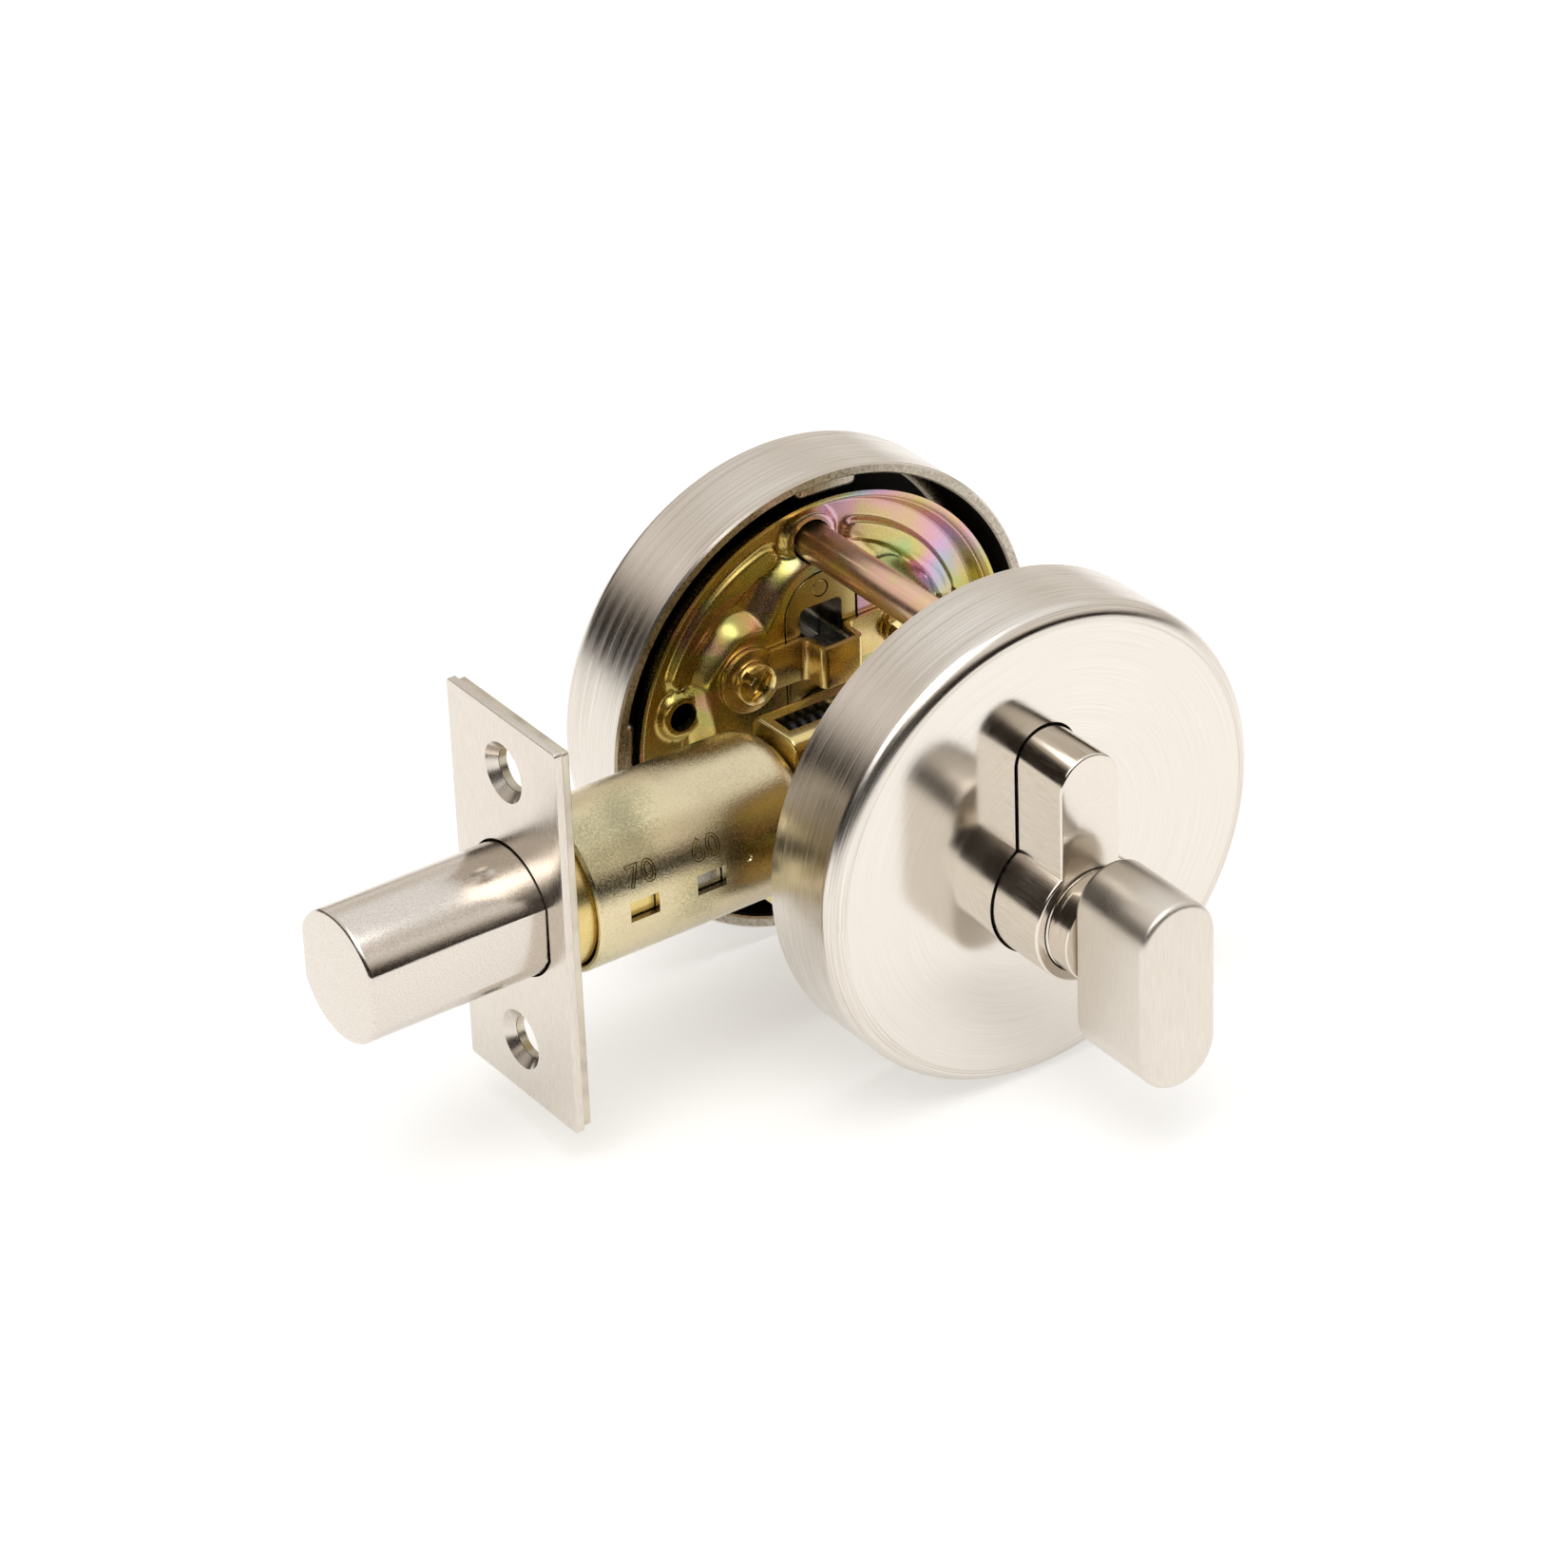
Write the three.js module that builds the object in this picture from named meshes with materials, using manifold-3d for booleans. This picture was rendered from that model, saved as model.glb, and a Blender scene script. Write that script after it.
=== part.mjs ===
// Tubular deadbolt with an adjustable backset, worked by a key outside and a thumbturn inside.
// Millimetres, +Z up. The bolt points along -X, the thumbturn side faces -Y, the key side +Y.
// The origin is on the spindle axis, in the middle plane of the door.
import * as THREE from 'three';
import { mergeVertices } from 'three/addons/utils/BufferGeometryUtils.js';
import Module from 'manifold-3d';

const wasm = await Module();
wasm.setup();

// Door and fits
const doorThickness = 34;
const backset = 60;
const backsetTravel = 10;
const axisRise = 6; // bolt axis above the spindle axis
const runClearance = 0.25; // round a piece that slides or turns
const fitClearance = 0.3; // round a piece that stands in a cut-out
const pinClearance = 0.1; // round a pin in its bore
const seatGap = 0.05; // between faces that rest on each other
const overcut = 1; // how far a cutting tool runs past a face

// How finely round faces are faceted
const pinSides = 12;
const boreSides = 16;
const headSides = 20;
const earSides = 24;
const padSides = 28;
const plugSides = 32;
const barrelSides = 36;
const roundSides = 44;
const roseSides = 48;
const ribSteps = 3;
const filletSteps = 3;
const slotSteps = 6;
const boltSteps = 8;
const domeSteps = 4;
const bevelSteps = 2;
const detentSteps = 9; // of one turn of the coil
const detentSides = 6;
const pinSpringSteps = 6;
const pinSpringSides = 4;
const arcSteps = 7;

// Faceplate
const plateWidth = 24;
const plateHeight = 55;
const plateThickness = 1.2;
const backingThickness = 1.1;
const backingInset = 0.4;
const plateHoleSpacing = 39;
const plateHoleRadius = 2.8;
const countersinkRadius = 4.1;

// Bolt
const boltRadius = 8.8;
const boltFlat = 8; // half the width over the two flats
const boltThrow = 25.5;
const boltLength = 36;
const boltChamfer = 0.5;
const sawPinRadius = 2;
const sawPinLength = 30;
const sawPinSpacing = 7.2;
const sawPinDrop = 2.6;

// Rack and pinion
const toothCount = 16;
const pressureAngle = THREE.MathUtils.degToRad(20);
const toothAddendum = 0.9;
const toothDedendum = 1.2;
const backlash = 0.12;
const spareTeeth = 2; // on the rack past those that mesh
const rackWidth = 4.8;
const rackTop = 6; // above the bolt axis
const tongueHeight = 3.6;
const tongueEnd = 3.5; // tongue beyond its slot
const rackPinRadius = 1.2;
const rackPinFromRear = 6;
const hubRadius = 5.2;
const hubSpare = 0.6; // hub past the case walls
const tailWidth = 2.4;
const tailHeight = 6.2;

// Sleeve, barrel and case
const barrelRadius = 10.8;
const barrelWall = 0.9;
const barrelMouth = 6; // from the face of the faceplate
const barrelEndRadius = 4.5;
const sleeveWall = 0.6;
const sleeveLength = 29;
const windowLength = 4.3;
const windowHeight = 2.8;
const windowAngle = THREE.MathUtils.degToRad(-2); // below the near side of the barrel
const windowDistance = 22.6; // 60 mm window, from the face of the faceplate
const caseFront = -20;
const caseRear = 13.5;
const caseWidth = 9.6;
const caseTop = 10.8; // above the bolt axis
const caseDepth = 10.5; // below the spindle axis
const caseWall = 1.3;
const springSlotWidth = 3;
const rivetRadius = 1;
const rivetHeadRadius = 1.5;
const rivetHeadHeight = 0.9;
const rivetDrop = 3.8;
const detentRadius = 1.5; // middle of the coil
const detentWire = 0.4; // wire radius
const detentLength = 8.6;
const detentTurns = 5;
const leverPinRadius = 1;
const leverPinReach = 6; // from the end of the spring
const leverPinDrop = 0.6; // metal of the lever above its pin
const leverNose = 3;
const leverLug = 1.1;

// Roses and their plates
const roseRadius = 33;
const roseDepth = 13;
const roseWall = 1.6;
const roseEdge = 2.4;
const lugWidth = 9.5;
const lugSetback = 0.8;
const lugTurn = THREE.MathUtils.degToRad(3.5);
const discRadius = 29;
const discDepth = 3.2; // floor below the rim of the rose
const discThickness = 1.2;
const flangeRun = 2;
const flangeLip = 0.9;
const postCircle = 22.6;
const spareHoleRadius = 2;
const spareHoleCircle = 21.3;
const spareHoleTurn = THREE.MathUtils.degToRad(10.6); // above the level of the bolt
const collarWidth = 1.2;
const collarHeight = 1.2;
const ribCircle = 22.4;
const ribWidth = 4;
const ribHeight = 0.8;
const padMargin = 0.8; // raised pad past the ears of the strap
const padBottom = 4;
const padArchMargin = 1.8; // raised pad past the cylinder
const ribStart = THREE.MathUtils.degToRad(20); // from the nearest post
const ribEnd = THREE.MathUtils.degToRad(70);

// Posts and their screws
const postRadius = 2.6;
const postFlat = 2.1;
const postFlatLength = 5;
const mountScrewRadius = 1.9;
const mountScrewLength = 12;
const mountHeadRadius = 3.9;
const mountHeadHeight = 2.2;

// Profile cylinders
const profileRadius = 8.6;
const profileWidth = 9;
const profileTop = 23.7;
const keyProfileWidth = 11;
const keyProfileTop = 24.4;
const cylinderProjection = 9; // past the face of the rose
const cylinderSetback = 0.5; // inner end past the door face
const bridgeNotchDepth = 2.9;
const notchWidth = 6.6;
const bridgeWidth = 4.6;
const bridgeBottom = 12;
const bridgeFloor = 1.4;
const bridgeWall = 0.7;
const bridgeHeight = 3.8;
const notchTop = 20;
const dowelRadius = 1.15;
const dowelLength = 2.4;
const dowelHeight = 22.2;
const strapThickness = 0.9;
const strapBoxFront = 5; // box past the inner end of the cylinder
const strapBumpWidth = 6.6;
const strapBottom = 10.4;
const strapTop = 16.3;
const earRadius = 4.5;
const strapScrewSpacing = 23.4;
const strapScrewHeight = 13;
const strapScrewRadius = 1.5;
const strapScrewLength = 7;
const strapHeadRadius = 2.8;
const strapHeadHeight = 1.9;
const driveSlot = 0.8;
const driveSlotDepth = 0.9;

// Key plug and its pins
const plugRadius = profileRadius - 2.35;
const plugSetback = 1.5;
const keywayWidth = 1.8;
const keywayBottom = 1.25 - plugRadius;
const keywayTop = 3.5;
const keywayLength = 14;
const pinCount = 5;
const pinPitch = 3.4;
const firstPin = 2.1; // from the bottom of the bridge notch
const pinRadius = 1.3;
const keyPinBottom = 1.6;
const driverPinLength = 3.8;
const pinSpringRadius = 0.95;
const pinSpringWire = 0.2;
const pinSpringTurns = 4;
const chamberRoof = 2; // metal above the pin chambers
const clipWidth = 0.7;
const clipOutset = 1.4;
const clipInset = 0.6;

// Thumbturn
const neckRadius = profileRadius - 1.6;
const neckLength = 4; // from the cylinder face to the knob
const spindleBoss = 4.5;
const spindleBossLength = 6;
const knobWidth = 11.5;
const knobTop = 10.7;
const knobBottom = -15.8;
const knobDepth = 13.6;
const knobBevel = 0.4;
const setScrewRadius = 1.5;
const setScrewLength = 6;

// Places that follow from those sizes
const faceX = -backset;
const plateBackX = faceX + plateThickness;
const backingX = plateBackX + seatGap;
const backingBackX = backingX + backingThickness;
const boltFrontX = faceX - boltThrow;
const boltRearX = boltFrontX + boltLength;
const rackPinX = boltRearX - rackPinFromRear;
const pitchRadius = boltThrow / Math.PI; // half a turn of the knob throws the bolt
const toothPitch = (2 * Math.PI * pitchRadius) / toothCount;
const pitchHeight = pitchRadius - axisRise; // pitch line from the bolt axis
const tongueBottom = rackTop - tongueHeight;
const rackPinHeight = rackTop - tongueHeight / 2;
const rackFrontX = rackPinX - backsetTravel - rackPinRadius - tongueEnd;
const rackSlotX = rackFrontX - tongueEnd / 2;
const barrelEndX = caseFront - seatGap;
const barrelMouthX = faceX + barrelMouth;
const sleeveRadius = barrelRadius - barrelWall - runClearance;
const sleeveX = backingBackX + seatGap;
const windowX = faceX + windowDistance;
const doorFace = doorThickness / 2;
const roseFace = doorFace + roseDepth;
const discFloor = doorFace + discDepth;
const discBack = discFloor + discThickness;
const cylinderEnd = doorFace + cylinderSetback;
const cylinderFace = roseFace + cylinderProjection;
const notchFloor = cylinderEnd + bridgeNotchDepth;
const strapFront = cylinderEnd - strapBoxFront;
const shearLine = plugRadius + runClearance / 2;
const chamberTop = keyProfileTop - chamberRoof;
const padFace = cylinderEnd;
const strapBack = cylinderEnd - seatGap;
const knobBack = cylinderFace + neckLength;
const rivetSpacing = caseWidth - 2 * (caseWall + rivetHeadRadius + runClearance);
const leverThickness = springSlotWidth - 2 * runClearance;

const finishes = {
  nickel: { color: '#c9c2b8', roughness: 0.28, metalness: 1 },
  zinc: { color: '#b59a52', roughness: 0.35, metalness: 1 },
  brass: { color: '#a9925a', roughness: 0.4, metalness: 1 },
  steel: { color: '#8b8f93', roughness: 0.35, metalness: 1 },
  black: { color: '#1d1d1f', roughness: 0.5, metalness: 0.6 },
};

// Solids
function toSolid(geometry) {
  geometry.deleteAttribute('normal');
  geometry.deleteAttribute('uv');
  const merged = mergeVertices(geometry, 1e-5);
  const points = merged.getAttribute('position');
  const index = merged.index.array;
  const corner = [new THREE.Vector3(), new THREE.Vector3(), new THREE.Vector3()];
  const kept = [];
  let volume = 0;
  for (let i = 0; i < index.length; i += 3) {
    const triangle = [index[i], index[i + 1], index[i + 2]];
    if (new Set(triangle).size < 3) continue;
    triangle.forEach((vertex, k) => corner[k].fromBufferAttribute(points, vertex));
    volume += corner[0].dot(corner[1].clone().cross(corner[2]));
    kept.push(...triangle);
  }
  if (volume < 0) kept.reverse();
  const mesh = new wasm.Mesh({
    numProp: 3,
    vertProperties: new Float32Array(points.array),
    triVerts: new Uint32Array(kept),
  });
  return new wasm.Manifold(mesh);
}

function toGeometry(solid) {
  const mesh = solid.getMesh();
  const geometry = new THREE.BufferGeometry();
  geometry.setAttribute('position', new THREE.BufferAttribute(mesh.vertProperties, 3));
  geometry.setIndex(new THREE.BufferAttribute(mesh.triVerts, 1));
  geometry.computeVertexNormals();
  return geometry;
}

function joined(...solids) {
  return solids.reduce((sum, solid) => sum.add(solid));
}

function cut(solid, ...tools) {
  return tools.reduce((rest, tool) => rest.subtract(tool), solid);
}

function box(x0, x1, y0, y1, z0, z1) {
  const geometry = new THREE.BoxGeometry(x1 - x0, y1 - y0, z1 - z0);
  geometry.translate((x0 + x1) / 2, (y0 + y1) / 2, (z0 + z1) / 2);
  return toSolid(geometry);
}

function rodX(radius, x0, x1, y, z, segments = headSides, radiusEnd = radius) {
  const geometry = new THREE.CylinderGeometry(radiusEnd, radius, x1 - x0, segments);
  geometry.rotateZ(-Math.PI / 2);
  geometry.translate((x0 + x1) / 2, y, z);
  return toSolid(geometry);
}

function rodY(radius, y0, y1, x, z, segments = headSides, radiusEnd = radius) {
  const geometry = new THREE.CylinderGeometry(radiusEnd, radius, y1 - y0, segments);
  geometry.translate(x, (y0 + y1) / 2, z);
  return toSolid(geometry);
}

function rodZ(radius, z0, z1, x, y, segments = pinSides) {
  const geometry = new THREE.CylinderGeometry(radius, radius, z1 - z0, segments);
  geometry.rotateX(Math.PI / 2);
  geometry.translate(x, y, (z0 + z1) / 2);
  return toSolid(geometry);
}

// A section drawn in (Y, Z) and run along X
function runX(shape, x0, x1, options = {}) {
  const geometry = new THREE.ExtrudeGeometry(shape, { depth: x1 - x0, bevelEnabled: false, ...options });
  const axes = new THREE.Matrix4().set(0, 0, 1, x0, 1, 0, 0, 0, 0, 1, 0, 0, 0, 0, 0, 1);
  geometry.applyMatrix4(axes);
  return toSolid(geometry);
}

// A section drawn in (X, Z) and run along Y
function runY(shape, y0, y1, options = {}) {
  const geometry = new THREE.ExtrudeGeometry(shape, { depth: y1 - y0, bevelEnabled: false, ...options });
  geometry.rotateX(Math.PI / 2);
  geometry.translate(0, y1, 0);
  return toSolid(geometry);
}

// A profile of [radius, height] points turned round the Y axis
function turnY(profile, segments) {
  const points = profile.map(([radius, y]) => new THREE.Vector2(radius, y));
  return toSolid(new THREE.LatheGeometry(points, segments));
}

function turnX(profile, segments) {
  const points = profile.map(([x, radius]) => new THREE.Vector2(radius, x));
  const geometry = new THREE.LatheGeometry(points, segments);
  geometry.rotateZ(-Math.PI / 2);
  return toSolid(geometry);
}

// Points of a quarter round from one angle to another
function roundPoints(centreA, centreB, radius, from, to, steps) {
  return Array.from({ length: steps + 1 }, (_, i) => {
    const angle = from + ((to - from) * i) / steps;
    return [centreA + radius * Math.cos(angle), centreB + radius * Math.sin(angle)];
  });
}

// A coil of round wire along Z from z0 to z1
function coil(radius, wire, turns, z0, z1, steps, sides) {
  class Helix extends THREE.Curve {
    getPoint(t) {
      const angle = 2 * Math.PI * turns * t;
      return new THREE.Vector3(radius * Math.cos(angle), radius * Math.sin(angle), z0 + (z1 - z0) * t);
    }
  }
  const section = new THREE.Shape();
  section.absarc(0, 0, wire, 0, 2 * Math.PI, false);
  return new THREE.ExtrudeGeometry(section, {
    steps: turns * steps,
    curveSegments: sides / 2,
    bevelEnabled: false,
    extrudePath: new Helix(),
  });
}

const lock = new THREE.Group();
const boltLine = new THREE.Group(); // everything laid out round the bolt axis
boltLine.position.z = axisRise;
lock.add(boltLine);

function place(name, solid, finish, parent = lock) {
  const material = new THREE.MeshStandardMaterial(finishes[finish]);
  const mesh = new THREE.Mesh(toGeometry(solid), material);
  mesh.name = name;
  parent.add(mesh);
  return mesh;
}

// Outline of the bolt: a round bar with two flats
function boltSection(grow) {
  const radius = boltRadius + grow;
  const corner = Math.acos((boltFlat + grow) / radius);
  const shape = new THREE.Shape();
  shape.absarc(0, 0, radius, corner, Math.PI - corner, false);
  shape.absarc(0, 0, radius, Math.PI + corner, 2 * Math.PI - corner, false);
  shape.closePath();
  return shape;
}

function plateHoles(x0, x1, frontRadius) {
  return [-1, 1].map((side) => {
    const z = (side * plateHoleSpacing) / 2;
    return rodX(frontRadius, x0, x1, 0, z, earSides, plateHoleRadius);
  });
}

function makeFaceplate() {
  const options = { curveSegments: boltSteps };
  const aperture = runX(boltSection(fitClearance), faceX - overcut, backingBackX + overcut, options);
  const halfWidth = plateWidth / 2;
  const halfHeight = plateHeight / 2;
  const plate = box(faceX, plateBackX, -halfWidth, halfWidth, -halfHeight, halfHeight);
  const cones = plateHoles(faceX - seatGap, plateBackX + seatGap, countersinkRadius);
  place('faceplate', cut(plate, aperture, ...cones), 'nickel', boltLine);

  const backHalfWidth = halfWidth - backingInset;
  const backHalfHeight = halfHeight - backingInset;
  const backing = box(backingX, backingBackX, -backHalfWidth, backHalfWidth, -backHalfHeight, backHalfHeight);
  const holes = plateHoles(backingX - overcut, backingBackX + overcut, plateHoleRadius);
  place('faceplate_backing', cut(backing, aperture, ...holes), 'zinc', boltLine);
}

function makeBolt() {
  const bevel = { bevelEnabled: true, bevelSize: boltChamfer, bevelThickness: boltChamfer };
  const options = { ...bevel, bevelOffset: -boltChamfer, bevelSegments: 1, curveSegments: boltSteps };
  const bar = runX(boltSection(0), boltFrontX + boltChamfer, boltRearX - boltChamfer, options);
  const slotHalf = rackWidth / 2 + runClearance;
  const slotBottom = tongueBottom - runClearance;
  const slotTop = rackTop + runClearance;
  const slot = box(rackSlotX, boltRearX + overcut, -slotHalf, slotHalf, slotBottom, slotTop);
  const pinRoom = rackPinRadius + pinClearance;
  const pinBore = rodY(pinRoom, -boltRadius, boltRadius, rackPinX, rackPinHeight, pinSides);
  const sawPinX = boltRearX - sawPinLength;
  const bores = [-1, 1].map((side) => {
    const y = (side * sawPinSpacing) / 2;
    const room = sawPinRadius + pinClearance;
    return rodX(room, sawPinX - overcut, boltRearX + overcut, y, -sawPinDrop, boreSides);
  });
  place('bolt', cut(bar, slot, pinBore, ...bores), 'nickel', boltLine);

  for (const [name, side] of [['saw_pin_inside', -1], ['saw_pin_outside', 1]]) {
    const y = (side * sawPinSpacing) / 2;
    place(name, rodX(sawPinRadius, sawPinX, boltRearX, y, -sawPinDrop, boreSides), 'steel', boltLine);
  }
  const pinHalf = boltFlat - 2 * boltChamfer;
  const pin = rodY(rackPinRadius, -pinHalf, pinHalf, rackPinX, rackPinHeight, pinSides);
  place('rack_pin', pin, 'steel', boltLine);
}

// The rack: a tongue that telescopes in the bolt, then a toothed bar over the pinion
function makeRack() {
  const tipHeight = pitchHeight - toothAddendum;
  const rootHeight = pitchHeight + toothDedendum;
  const tipHalf = toothPitch / 4 - backlash - toothAddendum * Math.tan(pressureAngle);
  const rootHalf = toothPitch / 4 - backlash + toothDedendum * Math.tan(pressureAngle);
  const rackTeeth = Math.round(boltThrow / toothPitch) + spareTeeth;
  const shape = new THREE.Shape();
  shape.moveTo(toothPitch / 2, rackTop);
  shape.lineTo(toothPitch / 2, rootHeight);
  for (let i = 0; i < rackTeeth; i += 1) {
    const x = -i * toothPitch;
    shape.lineTo(x + rootHalf, rootHeight);
    shape.lineTo(x + tipHalf, tipHeight);
    shape.lineTo(x - tipHalf, tipHeight);
    shape.lineTo(x - rootHalf, rootHeight);
  }
  const teethEndX = toothPitch / 2 - rackTeeth * toothPitch;
  shape.lineTo(teethEndX, rootHeight);
  shape.lineTo(teethEndX, tongueBottom);
  shape.lineTo(rackFrontX, tongueBottom);
  shape.lineTo(rackFrontX, rackTop);
  const bar = runY(shape, -rackWidth / 2, rackWidth / 2);
  const slotRadius = rackPinRadius + pinClearance;
  const slotShape = new THREE.Shape();
  slotShape.absarc(rackPinX, rackPinHeight, slotRadius, -Math.PI / 2, Math.PI / 2, false);
  slotShape.absarc(rackPinX - backsetTravel, rackPinHeight, slotRadius, Math.PI / 2, 1.5 * Math.PI, false);
  slotShape.closePath();
  const slot = runY(slotShape, -rackWidth, rackWidth, { curveSegments: slotSteps });
  place('bolt_rack', cut(bar, slot), 'steel', boltLine);
}

function involute(angle) {
  return Math.tan(angle) - angle;
}

function makePinion() {
  const baseRadius = pitchRadius * Math.cos(pressureAngle);
  const tipRadius = pitchRadius + toothAddendum;
  const rootRadius = pitchRadius - toothDedendum;
  const pitchHalf = Math.PI / (2 * toothCount) - backlash / pitchRadius;
  const flankHalf = (radius) => {
    const angle = Math.acos(Math.min(1, baseRadius / radius));
    return pitchHalf + involute(pressureAngle) - involute(angle);
  };
  const radii = [rootRadius, baseRadius, (baseRadius + pitchRadius) / 2, pitchRadius, tipRadius];
  const shape = new THREE.Shape();
  for (let i = 0; i < toothCount; i += 1) {
    const middle = Math.PI / 2 + ((i + 0.5) * 2 * Math.PI) / toothCount;
    for (const radius of radii) {
      const angle = middle - flankHalf(Math.max(radius, baseRadius));
      const first = i === 0 && radius === rootRadius;
      shape[first ? 'moveTo' : 'lineTo'](radius * Math.cos(angle), radius * Math.sin(angle));
    }
    for (const radius of [...radii].reverse()) {
      const angle = middle + flankHalf(Math.max(radius, baseRadius));
      shape.lineTo(radius * Math.cos(angle), radius * Math.sin(angle));
    }
  }
  const wheel = runY(shape, -rackWidth / 2, rackWidth / 2);
  const hubHalf = caseWidth / 2 + hubSpare;
  const hub = rodY(hubRadius, -hubHalf, hubHalf, 0, 0, earSides);
  const holeHalf = tailWidth / 2 + runClearance;
  const holeHeight = tailHeight / 2 + runClearance;
  const hole = box(-holeHalf, holeHalf, -hubHalf - overcut, hubHalf + overcut, -holeHeight, holeHeight);
  place('pinion', cut(joined(wheel, hub), hole), 'black');
}

// A block that reaches the barrel wall through one window, grown by a clearance
function windowBlock(x, grow) {
  const halfLength = windowLength / 2 + grow;
  const halfHeight = windowHeight / 2 + grow;
  const geometry = new THREE.BoxGeometry(2 * halfLength, 2 * barrelRadius, 2 * halfHeight);
  geometry.translate(x, -barrelRadius, 0);
  geometry.rotateX(windowAngle);
  return toSolid(geometry);
}

function tube(outer, inner, x0, x1, segments) {
  return turnX([[x0, inner], [x1, inner], [x1, outer], [x0, outer], [x0, inner]], segments);
}

function makeSleeve() {
  const sleeveEndX = sleeveX + sleeveLength;
  const bore = sleeveRadius - sleeveWall;
  const sleeve = tube(sleeveRadius, bore, sleeveX, sleeveEndX, barrelSides);
  place('inner_sleeve', cut(sleeve, windowBlock(windowX, pinClearance)), 'zinc', boltLine);
  const tab = tube(sleeveRadius, bore, sleeveX, sleeveEndX, barrelSides).intersect(windowBlock(windowX, 0));
  place('backset_tab', tab, 'steel', boltLine);
}

// Rectangular way through the barrel end and the case front for the rack
function rackWindow() {
  const half = rackWidth / 2 + fitClearance;
  const bottom = pitchHeight - toothAddendum - fitClearance;
  const top = rackTop + fitClearance;
  return box(barrelEndX - 2 * barrelWall, caseFront + 2 * caseWall, -half, half, bottom, top);
}

function rivetBores() {
  return [-1, 1].map((side) => {
    const radius = rivetRadius + pinClearance;
    const y = (side * rivetSpacing) / 2;
    return rodX(radius, barrelEndX - 2 * barrelWall, caseFront + 2 * caseWall, y, -rivetDrop, pinSides);
  });
}

function makeBarrel() {
  const innerRadius = barrelRadius - barrelWall;
  const roundX = barrelEndX - barrelEndRadius;
  const roundRadius = barrelRadius - barrelEndRadius;
  const innerEndRadius = barrelEndRadius - barrelWall;
  const outerRound = roundPoints(roundX, roundRadius, barrelEndRadius, Math.PI / 2, 0, domeSteps);
  const innerRound = roundPoints(roundX, roundRadius, innerEndRadius, 0, Math.PI / 2, domeSteps);
  const shell = turnX([
    [barrelMouthX, innerRadius],
    [barrelMouthX, barrelRadius],
    ...outerRound,
    [barrelEndX, 0],
    [barrelEndX - barrelWall, 0],
    ...innerRound,
    [barrelMouthX, innerRadius],
  ], barrelSides);
  const windows = [windowX, windowX - backsetTravel].map((x) => windowBlock(x, 0));
  place('barrel', cut(shell, rackWindow(), ...rivetBores(), ...windows), 'zinc', boltLine);
}

function makeCase() {
  const half = caseWidth / 2;
  const bottom = -axisRise - caseDepth;
  const shell = box(caseFront, caseRear, -half, half, bottom, caseTop);
  const innerHalf = half - caseWall;
  const innerX = caseFront + caseWall;
  const hollow = box(innerX, caseRear + overcut, -innerHalf, innerHalf, bottom - overcut, caseTop - caseWall);
  const hubBore = rodY(hubRadius + runClearance, -half - overcut, half + overcut, 0, -axisRise, padSides);
  const slotHalf = springSlotWidth / 2;
  const slotEndX = detentEndX() + leverLug + fitClearance;
  const slot = box(innerX, slotEndX, -slotHalf, slotHalf, caseTop - 2 * caseWall, caseTop + overcut);
  const across = half + overcut;
  const leverBore = rodY(leverPinRadius + pinClearance, -across, across, leverPinX(), leverPinZ(), pinSides);
  const openings = [hollow, hubBore, slot, rackWindow(), leverBore, ...rivetBores()];
  place('actuator_case', cut(shell, ...openings), 'zinc', boltLine);

  for (const [name, side] of [['case_rivet_inside', -1], ['case_rivet_outside', 1]]) {
    const y = (side * rivetSpacing) / 2;
    const frontX = barrelEndX - barrelWall - seatGap;
    const rearX = innerX + seatGap;
    const rivet = joined(
      rodX(rivetRadius, frontX - rivetHeadHeight / 2, rearX + rivetHeadHeight / 2, y, -rivetDrop, pinSides),
      rodX(rivetHeadRadius, frontX - rivetHeadHeight, frontX, y, -rivetDrop, pinSides),
      rodX(rivetHeadRadius, rearX, rearX + rivetHeadHeight, y, -rivetDrop, pinSides),
    );
    place(name, rivet, 'steel', boltLine);
  }
}

function detentZ() {
  return rackTop + fitClearance + detentRadius + detentWire;
}

function detentEndX() {
  return caseFront + caseWall + fitClearance + detentLength;
}

function leverPinX() {
  return detentEndX() + leverPinReach;
}

function leverPinZ() {
  return caseTop - caseWall - leverPinRadius - leverPinDrop;
}

// Coil spring under the case slot, and the lever that it pushes onto the rack
function makeDetent() {
  const length = detentLength - 2 * detentWire;
  const geometry = coil(detentRadius, detentWire, detentTurns, 0, length, detentSteps, detentSides);
  geometry.rotateY(Math.PI / 2);
  geometry.translate(detentEndX() - detentLength + detentWire, 0, detentZ());
  place('detent_spring', toSolid(geometry), 'black', boltLine);

  const left = detentEndX() + seatGap;
  const low = rackTop + runClearance;
  const roof = caseTop - caseWall - runClearance;
  const noseX = leverPinX() + leverNose;
  const shape = new THREE.Shape();
  shape.moveTo(left, low);
  shape.lineTo(noseX - leverLug, low);
  shape.lineTo(noseX, leverPinZ());
  shape.lineTo(noseX - leverLug, roof);
  shape.lineTo(left + leverLug, roof);
  shape.lineTo(left + leverLug, detentZ() + detentRadius);
  shape.lineTo(left, detentZ() + detentRadius);
  const lever = runY(shape, -leverThickness / 2, leverThickness / 2);
  const boreRadius = leverPinRadius + pinClearance;
  const bore = rodY(boreRadius, -leverThickness, leverThickness, leverPinX(), leverPinZ(), pinSides);
  place('locking_lever', cut(lever, bore), 'steel', boltLine);
  const pinHalf = caseWidth / 2;
  const pin = rodY(leverPinRadius, -pinHalf, pinHalf, leverPinX(), leverPinZ(), pinSides);
  place('lever_pin', pin, 'steel', boltLine);
}

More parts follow.
